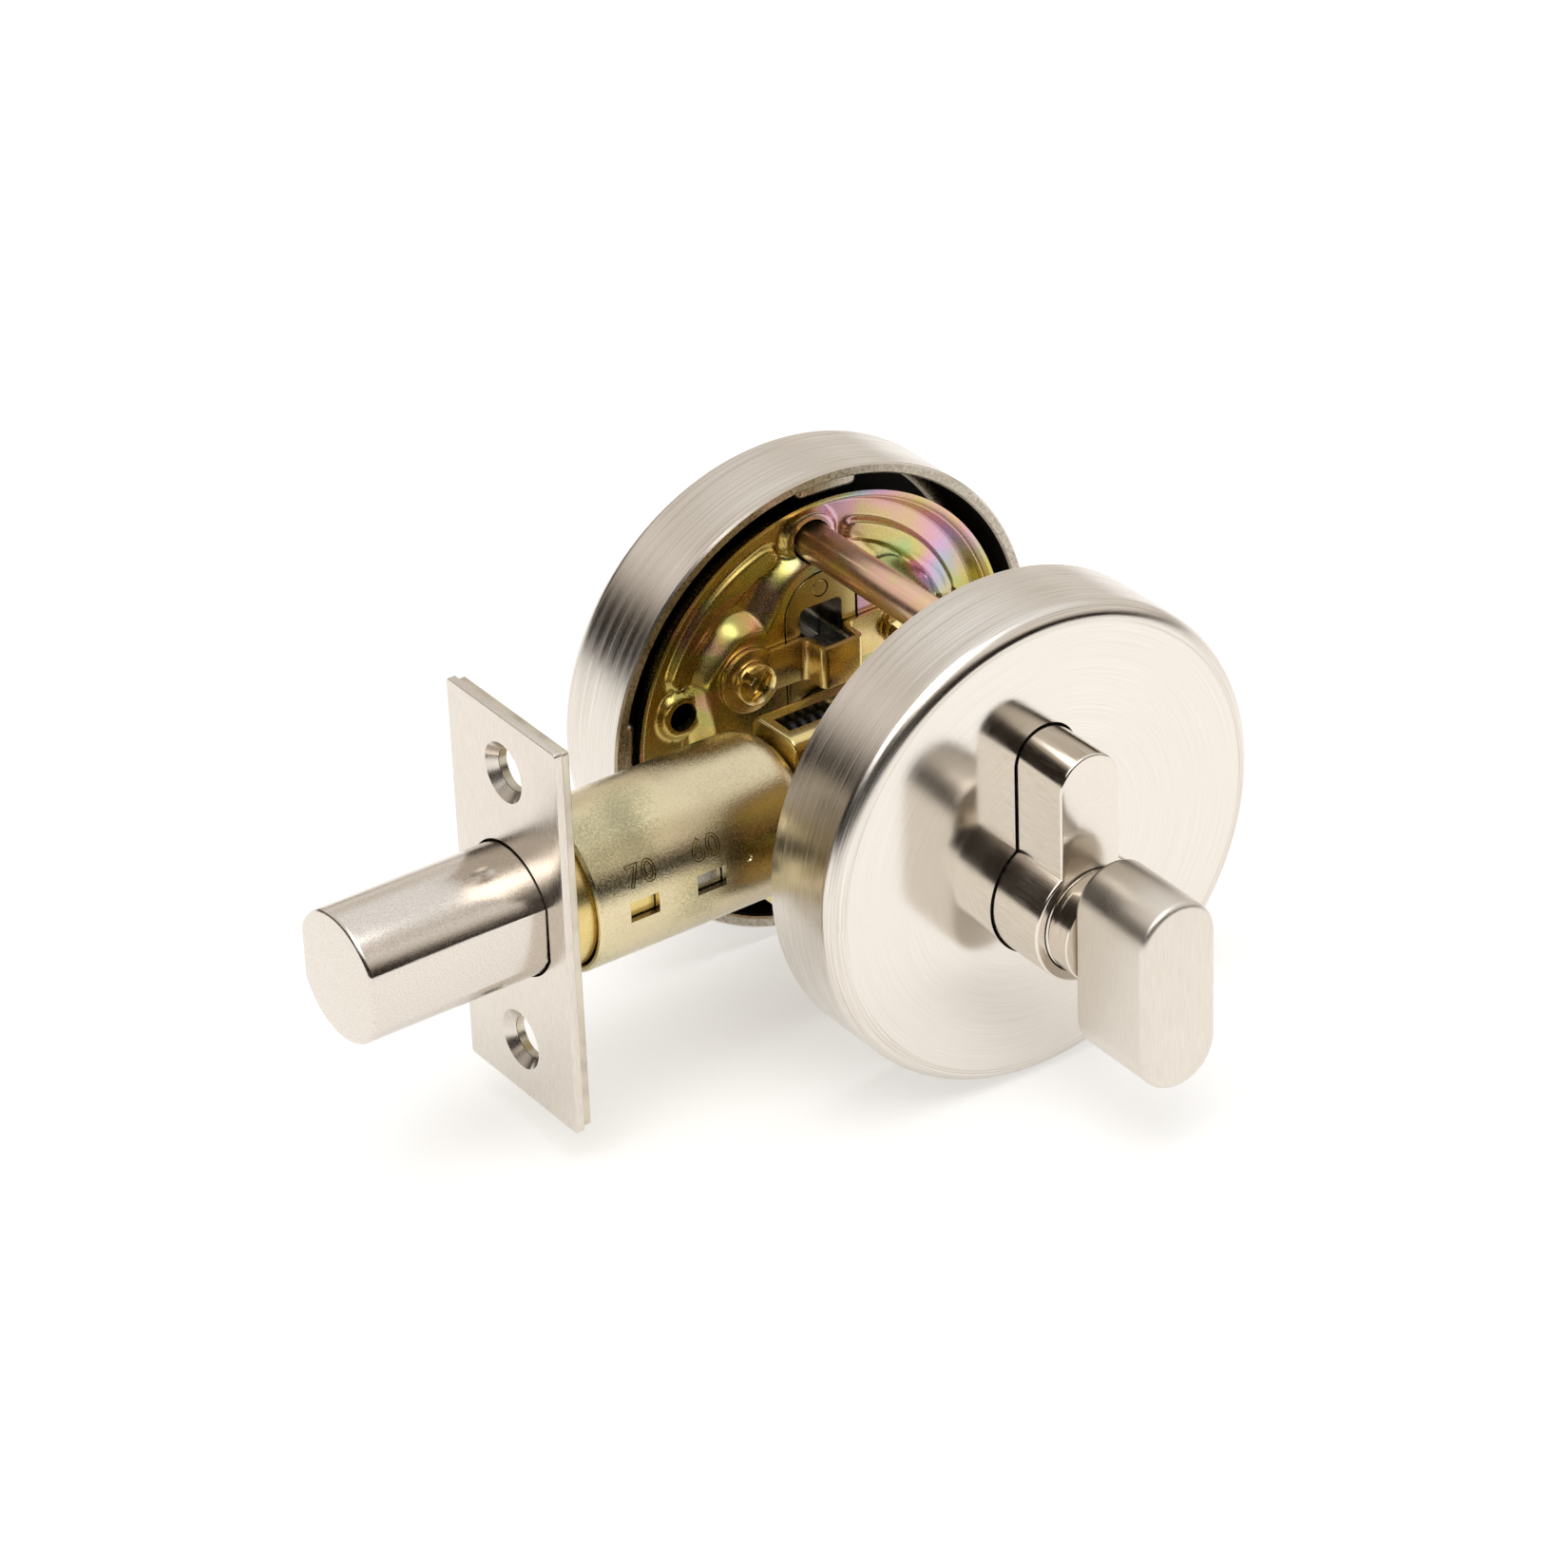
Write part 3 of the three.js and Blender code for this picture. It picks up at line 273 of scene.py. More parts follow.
# Satin nickel on turned brass: buffed in rings, so reflections stay clear along the stroke and blur across it
def satinNickelTurned(name, centre, tone, rough, grain, swing=0.03, depth=0.0025, anisotropic=0.4):
    material, tree, shader = startMaterial(name, Metallic=1.0, Roughness=rough, Anisotropic=anisotropic)
    rings = {"Vector": turnedVector(tree, centre, grain, 1.3), "Scale": 1.0, "Detail": 4, "Roughness": 0.7}
    fine = addNode(tree, "ShaderNodeTexNoise", rings).outputs["Fac"]
    waves = {"Vector": turnedVector(tree, centre, grain / 7, 0.8), "Scale": 1.0, "Detail": 2, "Roughness": 0.6}
    broad = addNode(tree, "ShaderNodeTexNoise", waves).outputs["Fac"]
    streaks = addNode(tree, "ShaderNodeMath", {0: fine, 1: broad}, operation="MULTIPLY").outputs[0]
    base = addNode(tree, "ShaderNodeValToRGB", {0: fine}, list(zip((0.3, 0.5, 0.7), tone))).outputs[0]
    tree.links.new(base, shader.inputs["Base Color"])
    blur = {"Value": streaks, "From Min": 0.12, "From Max": 0.4, "To Min": rough - swing / 2, "To Max": rough + swing}
    tree.links.new(addNode(tree, "ShaderNodeMapRange", blur).outputs[0], shader.inputs["Roughness"])
    cuts = {"Height": fine, "Strength": 0.6, "Distance": depth / 1000}
    tree.links.new(addNode(tree, "ShaderNodeBump", cuts).outputs[0], shader.inputs["Normal"])
    ring = addNode(tree, "ShaderNodeTangent", direction_type="RADIAL", axis="Y")
    tree.links.new(ring.outputs[0], shader.inputs["Tangent"])
    return material


# Satin nickel on a flat pressing or a bar: fine strokes run one way, and soft clouds dull the shine here and there
def satinNickelBrushed(name, stretch, tone, rough, depth=0.01):
    material, tree, shader = startMaterial(name, Metallic=1.0, Roughness=rough)
    strokes = {"Vector": placeVector(tree, stretch=stretch), "Scale": 1.0, "Detail": 4, "Roughness": 0.6}
    fine = addNode(tree, "ShaderNodeTexNoise", strokes).outputs["Fac"]
    clouds = {"Vector": placeVector(tree), "Scale": 0.12, "Detail": 3, "Roughness": 0.6}
    cloud = addNode(tree, "ShaderNodeTexNoise", clouds).outputs["Fac"]
    base = addNode(tree, "ShaderNodeValToRGB", {0: fine}, list(zip((0.25, 0.5, 0.75), tone))).outputs[0]
    tree.links.new(base, shader.inputs["Base Color"])
    both = addNode(tree, "ShaderNodeMath", {0: fine, 1: cloud}, operation="ADD").outputs[0]
    blur = {"Value": both, "From Min": 0.7, "From Max": 1.3, "To Min": rough - 0.07, "To Max": rough + 0.09}
    tree.links.new(addNode(tree, "ShaderNodeMapRange", blur).outputs[0], shader.inputs["Roughness"])
    cuts = {"Height": fine, "Strength": 0.5, "Distance": depth / 1000}
    tree.links.new(addNode(tree, "ShaderNodeBump", cuts).outputs[0], shader.inputs["Normal"])
    return material


# Yellow chromate over zinc plate: a thin film, so gold drifts to olive and rose over some mm, above a fine rolled
# grain; bright is where the bath lay longest, and there the film turns through rose, green and blue
def yellowChromate(name, stops, patch, grain, rough, grainDepth=0.006, bright=None, speckle=0.1):
    material, tree, shader = startMaterial(name, Metallic=1.0, Roughness=rough)
    patches = {"Vector": placeVector(tree), "Scale": 1 / patch, "Detail": 2, "Roughness": 0.4}
    drift = addNode(tree, "ShaderNodeTexNoise", patches).outputs["Fac"]
    grains = {"Vector": placeVector(tree), "Scale": grain, "Detail": 5, "Roughness": 0.7}
    speck = addNode(tree, "ShaderNodeTexNoise", grains).outputs["Fac"]
    swing = {0: speck, 1: speckle, 2: -speckle / 2}
    mix = addNode(tree, "ShaderNodeMath", swing, operation="MULTIPLY_ADD").outputs[0]
    film = addNode(tree, "ShaderNodeMath", {0: drift, 1: mix}, operation="ADD").outputs[0]
    base = addNode(tree, "ShaderNodeValToRGB", {0: film}, stops).outputs[0]
    if bright:
        fromCentre = {0: placeVector(tree, bright["centre"])}
        away = addNode(tree, "ShaderNodeVectorMath", fromCentre, operation="LENGTH").outputs["Value"]
        wave = addNode(tree, "ShaderNodeMath", {0: away, 1: bright["waves"]}, operation="MULTIPLY").outputs[0]
        bent = addNode(tree, "ShaderNodeMath", {0: drift, 1: 0.7, 2: wave}, operation="MULTIPLY_ADD").outputs[0]
        order = addNode(tree, "ShaderNodeMath", {0: bent, 1: 0.32}, operation="SUBTRACT").outputs[0]
        bands = addNode(tree, "ShaderNodeValToRGB", {0: order}, bright["bands"]).outputs[0]
        fade = {"Value": away, "From Min": bright["full"], "From Max": bright["gone"], "To Min": 0.85, "To Max": 0}
        near = addNode(tree, "ShaderNodeMapRange", fade).outputs[0]
        base = addNode(tree, "ShaderNodeMix", {0: near, 6: base, 7: bands}, data_type="RGBA").outputs[2]
    tree.links.new(base, shader.inputs["Base Color"])
    blur = {"Value": speck, "From Min": 0.3, "From Max": 0.7, "To Min": rough - 0.07, "To Max": rough + 0.12}
    tree.links.new(addNode(tree, "ShaderNodeMapRange", blur).outputs[0], shader.inputs["Roughness"])
    pits = {"Height": speck, "Strength": 0.6, "Distance": grainDepth / 1000}
    tree.links.new(addNode(tree, "ShaderNodeBump", pits).outputs[0], shader.inputs["Normal"])
    return material


# Plain metals, ground, drawn, cast or blackened: a fine grain from low to high, with light handling marks
def plainMetal(name, low, high, grain, rough, stretch=(1, 1, 1), metallic=1.0, depth=0.006):
    material, tree, shader = startMaterial(name, Metallic=metallic, Roughness=rough)
    grains = {"Vector": placeVector(tree, stretch=stretch), "Scale": grain, "Detail": 4, "Roughness": 0.65}
    speck = addNode(tree, "ShaderNodeTexNoise", grains).outputs["Fac"]
    base = addNode(tree, "ShaderNodeValToRGB", {0: speck}, [(0.3, low), (0.7, high)]).outputs[0]
    tree.links.new(base, shader.inputs["Base Color"])
    blur = {"Value": speck, "From Min": 0.3, "From Max": 0.7, "To Min": rough - 0.08, "To Max": rough + 0.12}
    tree.links.new(addNode(tree, "ShaderNodeMapRange", blur).outputs[0], shader.inputs["Roughness"])
    pits = {"Height": speck, "Strength": 0.5, "Distance": depth / 1000}
    tree.links.new(addNode(tree, "ShaderNodeBump", pits).outputs[0], shader.inputs["Normal"])
    return material


# Nickel runs from the dark of its strokes to the light between them; the lower the roughness, the clearer the reflection
roseCentre = (0, 0, axisHeight)
roseNickel = satinNickelTurned("satinNickelRose", roseCentre, ("#d9d3ca", "#e2dcd4", "#e9e4dd"), 0.11, 11.0)
rimNickel = satinNickelTurned("satinNickelRoseSide", roseCentre, ("#b8b0a5", "#dcd5cc", "#ece8e1"), 0.19, 7.0,
                              swing=0.1, depth=0.014, anisotropic=0.6)  # coarser strokes, broad soft bands of light
plugNickel = satinNickelTurned("satinNickelSpindle", (0, 0, 0), ("#cbc2b6", "#ddd5ca", "#e9e3da"), 0.15, 9.0)
cylinderTone = ("#d0c8bd", "#dfd8ce", "#ebe6de")
cylinderNickel = satinNickelBrushed("satinNickelCylinder", (12, 0.3, 12), cylinderTone, 0.17, 0.003)
knobNickel = satinNickelBrushed("satinNickelKnob", (12, 12, 0.3), ("#cfc7bc", "#dbd4ca", "#e6e0d8"), 0.33, 0.003)
plateNickel = satinNickelBrushed("satinNickelFaceplate", (9, 9, 0.4), ("#c9c0b5", "#d8d0c6", "#e4ded6"), 0.24, 0.004)
boltNickel = satinNickelBrushed("nickelPlatedBolt", (3.5, 6, 6), ("#c4bcb2", "#d8d0c7", "#e8e2da"), 0.18, 0.014)

# Chromate film by the length of its bath: pale beige gold on the barrel, strong gold on the pressings, rosy on the posts
barrelStops = [(0.28, "#a29a7c"), (0.4, "#bdb48f"), (0.5, "#dccfa9"), (0.6, "#d6c6a6"), (0.74, "#bbb68e")]
barrelZinc = yellowChromate("yellowChromateBarrel", barrelStops, 14, 3.2, 0.2, 0.05, speckle=0.6)  # coarse to show
sleeveStops = [(0.35, "#c8ad66"), (0.5, "#dfc988"), (0.65, "#d3bd7c")]
sleeveZinc = yellowChromate("yellowChromateSleeve", sleeveStops, 9, 4, 0.25)
filmStops = [(0.3, "#b79a52"), (0.42, "#cfb76c"), (0.5, "#b9b468"), (0.58, "#d3a888"), (0.66, "#c9b06a"),
             (0.76, "#aeb06a")]
filmBands = [(0.1, "#a9c48a"), (0.22, "#cfc07c"), (0.32, "#dba9ae"), (0.42, "#d3a8cf"), (0.5, "#a9b8d2"),
             (0.58, "#9fcab0"), (0.68, "#d9bd78"), (0.9, "#c9a352")]
filmBright = dict(centre=(12, 19, 24), bands=filmBands, full=11, gone=17, waves=0.035)
plateZinc = yellowChromate("yellowChromatePressing", filmStops, 9, 5, 0.23, 0.004, filmBright)
strapStops = [(0.35, "#cdb06a"), (0.5, "#e0ca8c"), (0.65, "#e0bd98")]
strapZinc = yellowChromate("yellowChromateStrap", strapStops, 6, 5, 0.22)
postStops = [(0.35, "#d3b47c"), (0.5, "#e8c8a0"), (0.62, "#ecc0ae"), (0.72, "#e0cd98")]
postZinc = yellowChromate("yellowChromatePost", postStops, 9, 5, 0.3, 0.002)
screwStops = [(0.35, "#d3bb78"), (0.5, "#f0dfa8"), (0.65, "#e9caa0")]
screwZinc = yellowChromate("yellowChromateScrew", screwStops, 3, 4, 0.16, 0.003)
caseStops = [(0.35, "#bea763"), (0.5, "#dcc98a"), (0.65, "#d2c08f")]
caseZinc = yellowChromate("yellowChromateCase", caseStops, 7, 5, 0.2)
backingStops = [(0.35, "#b3aa98"), (0.5, "#c8c0b0"), (0.65, "#d4ccba")]
backingZinc = yellowChromate("yellowChromateBacking", backingStops, 5, 5, 0.3)

rawCasting = plainMetal("zincCastingBare", "#8f8678", "#d2c9ba", 2.5, 0.3, depth=0.02)  # grey, grainy sawn edge
paintedShadeCasting = plainMetal("zincCastingPaintedShade", "#1d1a17", "#2e2a25", 2, 0.6, metallic=0.4)  # painted shade: dull black inside the hollow of the cup, where little light reaches
paintedStampShade = plainMetal("paintedShadeInStamp", "#86784a", "#b3a26a", 4, 0.35)  # painted shade: a dark olive line in the stamped grooves that draws a figure
brassDrawn = plainMetal("brassDrawn", "#a08c55", "#c3b07a", 3, 0.26, (3, 0.4, 3))  # olive gold, drawn lengthways
steelGround = plainMetal("steelGround", "#97948d", "#c8c4bb", 4, 0.26)  # neutral grey with a fine sparkle
steelTray = plainMetal("steelRolled", "#7b7e80", "#a3a5a3", 4, 0.28, (3, 0.5, 3))  # bluish grey with faint lines
blackOxide = plainMetal("blackOxideSteel", "#101012", "#2c2c2e", 3, 0.33, metallic=0.7)  # oily black with soft glints
print("finishes made:", len(bpy.data.materials))

rose = dict(radius=33, door=17, face=30, wall=1.6, edge=2.4, lugWidth=9.5, lugInner=29.3, lugBack=17.8, lugTurn=3.5,
            lugEdge=0.9, play=0.3)
profiles = {"outer": (5.5, 24.4), "inner": (4.5, 23.7)}  # half width of the stem, top of the stem
roundPart = 8.6  # radius of the cylinder profile's round part


# Round part and stem of a cylinder profile; play makes the hole that it goes through
def euroOutline(side, play=0.0, steps=48):
    half, top = (size + play for size in profiles[side])

    def outline(inset):
        h, r, t = half - inset, roundPart + play - inset, top - inset
        neck = math.degrees(math.acos(h / r))
        return arcPoints((0, t - h), h, 0, 180, steps) + arcPoints((0, 0), r, 180 - neck, 360 + neck, 2 * steps)
    return outline


def makeRose(side):
    r, wall, edge, door, face = (rose[k] for k in ("radius", "wall", "edge", "door", "face"))
    inside = edge - wall / 2
    profile = [(door + 0.25, r - wall), (door, r - wall + 0.25), (door, r - 0.3), (door + 0.3, r)]
    profile += [(y, q) for q, y in arcPoints((r - edge, face - edge), edge, 0, 90, 10)]
    profile += [(face, 1), (face - wall, 1)]
    profile += [(y, q) for q, y in arcPoints((r - wall - inside, face - wall - inside), inside, 90, 0, 6)]
    cup = turnedPiece("cup", profile, (0, axisHeight), sides=288, capped=False)
    half = rose["lugWidth"] / 2
    lugs = []
    for quarter in range(4):
        lug = block((rose["lugInner"], r - wall / 2), (rose["lugBack"], face - wall / 2), (-half, half))
        softened(lug, rose["lugEdge"], 4)
        turn = Matrix.Rotation(quarter * math.pi / 2 + math.radians(rose["lugTurn"]), 4, "Y")
        lug.data.transform(Matrix.Translation((0, 0, axisHeight)) @ turn)
        lugs.append(lug)
    cutAway(cup, runPiece("hole", euroOutline(side, rose["play"]), door, face + 1))
    joined(cup, *lugs)

    # The outside takes the side nickel and the front face the face nickel; bare lugs and the back edge show grey zinc,
    # and all else inside the cup is painted shade in dull black
    def choose(middle):
        away = math.hypot(middle.x, middle.z - axisHeight)
        pastX, pastY = away - r + edge, middle.y - face + edge
        if away > r - 0.25 or (min(pastX, pastY) > 0 and math.hypot(pastX, pastY) > edge - 0.2):
            return 3
        if middle.y > face - 0.5 * wall:
            return 0
        bareLug = rose["lugInner"] - 0.1 < away < r - wall - 0.1
        return 1 if bareLug or middle.y < rose["lugBack"] + rose["lugEdge"] else 2
    paintFaces(cup, (roseNickel, rawCasting, paintedShadeCasting, rimNickel), choose)
    return finishPiece(cup, side + "RoseCup", None, "root", "satin_nickel", [side + "_rose"], side == "inner")


for side in profiles:
    makeRose(side)
print("roses turned")

plate = dict(radius=29, floorRadius=27, rim=17.35, floor=20.2, thick=1.2, pad=17.5, padEar=5.3, earX=11.7, earZ=13,
             padBottom=4, padArch=1.8, padSlope=2.7, padBlend=3.5, collarRise=1.2, ribRise=0.9, ribCircle=22.6,
             ribs=((20, 72, 1.6), (17, 66, 2.0)), postCircle=22.6, spareCircle=21.3, spareTurn=10.6, spareHole=2,
             postHole={"outer": 2.9, "inner": 2.2}, screwHole=1.6, rings=116, sides=300)


def smoothStep(value, low, high):
    t = min(1, max(0, (value - low) / (high - low)))
    return t * t * (3 - 2 * t)


def boxDistance(x, z, x0, x1, z0, z1):
    dx, dz = max(x0 - x, x - x1), max(z0 - z, z - z1)
    return math.hypot(max(dx, 0), max(dz, 0)) + min(max(dx, dz), 0)


# How far a point is outside the raised pad: a strip with two ears, and an arch round the stem of the cylinder
def padDistance(side, x, z):
    half, top = profiles[side]
    ear, ex, ez = plate["padEar"], plate["earX"], plate["earZ"]
    arch = half + plate["padArch"]
    nearest, second = sorted([
        boxDistance(x, z, -ex - ear, ex + ear, plate["padBottom"], ez), boxDistance(x, z, -ex, ex, ez, ez + ear),
        math.hypot(x + ex, z - ez) - ear, math.hypot(x - ex, z - ez) - ear,
        boxDistance(x, z, -arch, arch, ez, top - half), math.hypot(x, z - top + half) - arch])[:2]
    blend = max(0, plate["padBlend"] - abs(nearest - second)) / plate["padBlend"]
    return nearest - blend * blend * 0.9


# Collared holes, from the centre of the plate: two for the posts and two spare ones
def plateHoles(side):
    turn, post = math.radians(plate["spareTurn"]), plate["postHole"][side]
    sx, sz = plate["spareCircle"] * math.cos(turn), plate["spareCircle"] * math.sin(turn)
    spare = plate["spareHole"]
    return [(0, plate["postCircle"], post), (0, -plate["postCircle"], post), (sx, sz, spare), (-sx, sz, spare)]


# Height field of the pressed front: rolled rim, curved ribs, pad and collars
def plateFront(side, u, w):
    radius, degrees = math.hypot(u, w), math.degrees(math.atan2(w, u))
    rise = (plate["floor"] - plate["rim"]) * smoothStep(radius, plate["floorRadius"] - 0.4, plate["radius"] - 0.5)
    angle = degrees % 90
    start, end, wide = plate["ribs"][int((degrees % 180) // 90)]
    off = max(0, start - angle, angle - end)
    across = math.hypot(radius - plate["ribCircle"], math.radians(off) * plate["ribCircle"])
    rib = plate["ribRise"] * (1 - smoothStep(across, wide - 0.6, wide + 0.25))
    pad, slope = padDistance(side, u, w + axisHeight), plate["padSlope"]
    raised = (plate["floor"] - plate["pad"]) * (1 - smoothStep(pad, -0.3, slope))
    groove = 0.12 * (1 - smoothStep(abs(pad - slope - 0.5), 0.1, 0.45))
    collar = 0
    for hx, hz, hole in plateHoles(side):
        away = math.hypot(u - hx, w - hz)
        collar = max(collar, plate["collarRise"] * (1 - smoothStep(away, hole + 0.75, hole + 1.7)))
        groove *= smoothStep(away, hole + 1.5, hole + 3)
    return plate["floor"] - max(rise, rib, raised, collar) + groove * (1 - smoothStep(radius, 24, 26))


def makePlate(side):
    front, back = [], []
    for i in range(plate["rings"]):
        radius = plate["radius"] * (i + 1) / plate["rings"]
        depth = plate["thick"] * (0.65 if radius > plate["floorRadius"] else 1)
        pull = 1 - 0.9 * smoothStep(radius, plate["floorRadius"], plate["radius"]) / radius
        row, under = [], []
        for u, w in arcPoints((0, 0), radius, 0, 360, plate["sides"])[:-1]:
            y = plateFront(side, u, w)
            row.append((u, y, w + axisHeight))
            under.append((u * pull, y + depth, w * pull + axisHeight))
        front.append(row)
        back.append(under)
    disc = loftPiece("disc", front + back[::-1], capped=False)
    near, far = 10, 30  # the cutters reach past the plate on both sides
    tools = [runPiece("hole", euroOutline(side, rose["play"]), near, far)]
    tools += [rod(hole, near, far, (hx, hz + axisHeight)) for hx, hz, hole in plateHoles(side)]
    tools += [rod(plate["screwHole"], near, far, (hand * plate["earX"], plate["earZ"])) for hand in (-1, 1)]
    cutAway(disc, *tools)
    return finishPiece(disc, side + "FixingPlate", plateZinc, "root", "yellow_zinc", [side + "_plate"], side == "inner",
                       smooth=50)


for side in profiles:
    makePlate(side)
print("fixing plates pressed")

cylinder = dict(end=17.5, face=39, bore={"outer": 6.5, "inner": 7.25}, notchHalf=3.3, notch=(11.75, 20), notchCorner=0.9,
                notchFloor=20.4, dowel=1.15, dowelZ=22.2, dowelLength=2.4, pins=5, pinPitch=3.4, firstPin=2.1,
                pinRoom=1.4, chamberTop=22.4, backEdge=0.15, frontEdge=0.35)


def roundedBox(x, z, corner, steps=6):
    def outline(inset):
        x0, x1, z0, z1 = x[0] + inset, x[1] - inset, z[0] + inset, z[1] - inset
        r = max(0.02, corner - inset)
        centres = ((x1 - r, z1 - r), (x0 + r, z1 - r), (x0 + r, z0 + r), (x1 - r, z0 + r))
        ring = []
        for quarter, centre in enumerate(centres):
            ring += arcPoints(centre, r, quarter * 90, quarter * 90 + 90, steps)
        return ring
    return outline


def makeCylinder(side):
    c = cylinder
    body = runPiece("cylinder", euroOutline(side), c["end"], c["face"], (c["backEdge"], c["frontEdge"]))
    notch = roundedBox((-c["notchHalf"], c["notchHalf"]), c["notch"], c["notchCorner"])
    tools = [rod(c["bore"][side], c["end"] - 1, c["face"] + 1, sides=96),
             runPiece("notch", notch, c["end"] - 1, c["notchFloor"]),
             rod(c["dowel"] + 0.1, c["end"] - 1, c["end"] + c["dowelLength"] + 0.1, (0, c["dowelZ"]))]
    if side == "outer":
        for i in range(c["pins"]):
            y = c["notchFloor"] + c["firstPin"] + i * c["pinPitch"]
            tools.append(rod(c["pinRoom"], 0, c["chamberTop"], (0, y), "Z", 32))
    cutAway(body, *tools)
    bareEnd = c["end"] + 0.1 if side == "outer" else 0  # the end in the plate is left unplated
    paintFaces(body, (cylinderNickel, brassDrawn), lambda middle: int(middle.y < bareEnd))
    inner = side == "inner"
    finishPiece(body, side + "ProfileCylinder", None, "root", "satin_nickel", [side + "_cylinder"], inner)
    dowel = rod(c["dowel"], c["end"], c["end"] + c["dowelLength"], (0, c["dowelZ"]), edge=0.12)
    finishPiece(dowel, side + "Dowel", brassDrawn, "root", "brass", [side + "_dowel"], inner)


strap = dict(thick=0.9, front=12.5, back=17.45, half=3.3, z=(10.4, 16.3), ear=4.5, earX=11.7, earZ=13, bend=1.0,
             hole=1.6, edge=0.14, trayEdge=0.18)


# The strap is folded over the tray: its section in (x, y), with rounded bends, runs up from its lower edge
def makeStrap(side):
    s = strap
    t, bend, foot = s["thick"], s["bend"], s["back"] - s["thick"]
    footCentre, headCentre = (-s["half"] - bend, foot - bend), (-s["half"] + bend, s["front"] + bend)
    near = ([(-s["earX"], foot)] + arcPoints(footCentre, bend, 90, 0, 6) + arcPoints(headCentre, bend, 180, 270, 6))
    far = ([(-s["earX"], s["back"])] + arcPoints(footCentre, bend + t, 90, 0, 6)
           + arcPoints(headCentre, bend - t, 180, 270, 6))
    section = near + [(-x, y) for x, y in near[::-1]] + [(-x, y) for x, y in far] + far[::-1]
    band = loftPiece("band", [[(x, y, z) for x, y in section] for z in s["z"]])
    hands = [(hand * s["earX"], s["earZ"]) for hand in (-1, 1)]
    cutAway(band, *[rod(s["ear"], foot, s["back"], place, sides=64) for place in hands], operation="UNION")
    cutAway(band, *[rod(s["hole"], 10, 20, place, sides=32) for place in hands])
    softened(band, s["edge"], 2, 40)
    finishPiece(band, side + "Strap", strapZinc, "root", "yellow_zinc", [side + "_strap"], side == "inner")
    tray = softened(cadCopy(side + "_bridge", "tray"), s["trayEdge"])
    finishPiece(tray, side + "Tray", steelTray, "root", "steel", [side + "_bridge"])


for side in profiles:
    makeCylinder(side)
    makeStrap(side)
print("cylinders and straps made")


# A geometry tree with one named input for each size
def startTree(name, sizes):
    tree = bpy.data.node_groups.new(name, "GeometryNodeTree")
    tree.interface.new_socket("Geometry", in_out="OUTPUT", socket_type="NodeSocketGeometry")
    kinds = {tuple: "NodeSocketVector", int: "NodeSocketInt", float: "NodeSocketFloat"}
    for label, value in sizes.items():
        socket = tree.interface.new_socket(label, in_out="INPUT", socket_type=kinds[type(value)])
        socket.default_value = value
    tree.interface.new_socket("Metal", in_out="INPUT", socket_type="NodeSocketMaterial")
    return tree, addNode(tree, "NodeGroupInput").outputs


# The shape is repeated in a row, made real and given its metal
def endTree(tree, given, shape):
    line = {"Count": given["Count"], "Start Location": given["Start"], "Offset": given["Step"]}
    row = addNode(tree, "GeometryNodeMeshLine", line).outputs[0]
    placed = addNode(tree, "GeometryNodeInstanceOnPoints", {"Points": row, "Instance": shape}).outputs[0]
    real = addNode(tree, "GeometryNodeRealizeInstances", {0: placed}).outputs[0]
    painted = addNode(tree, "GeometryNodeSetMaterial", {0: real, "Material": given["Metal"]}).outputs[0]
    addNode(tree, "NodeGroupOutput", {0: painted})
    return tree


def grow(tree, name, sizes, metal):
    holder = bpy.data.objects.new(name, bpy.data.meshes.new(name))
    bpy.context.scene.collection.objects.link(holder)
    modifier = holder.modifiers.new("grow", "NODES")
    modifier.node_group = tree
    identifiers = {item.name: item.identifier for item in tree.interface.items_tree if item.in_out == "INPUT"}
    for label, value in {**sizes, "Metal": metal}.items():
        modifier[identifiers[label]] = value
    bake(holder)
    outward(holder)
    return holder


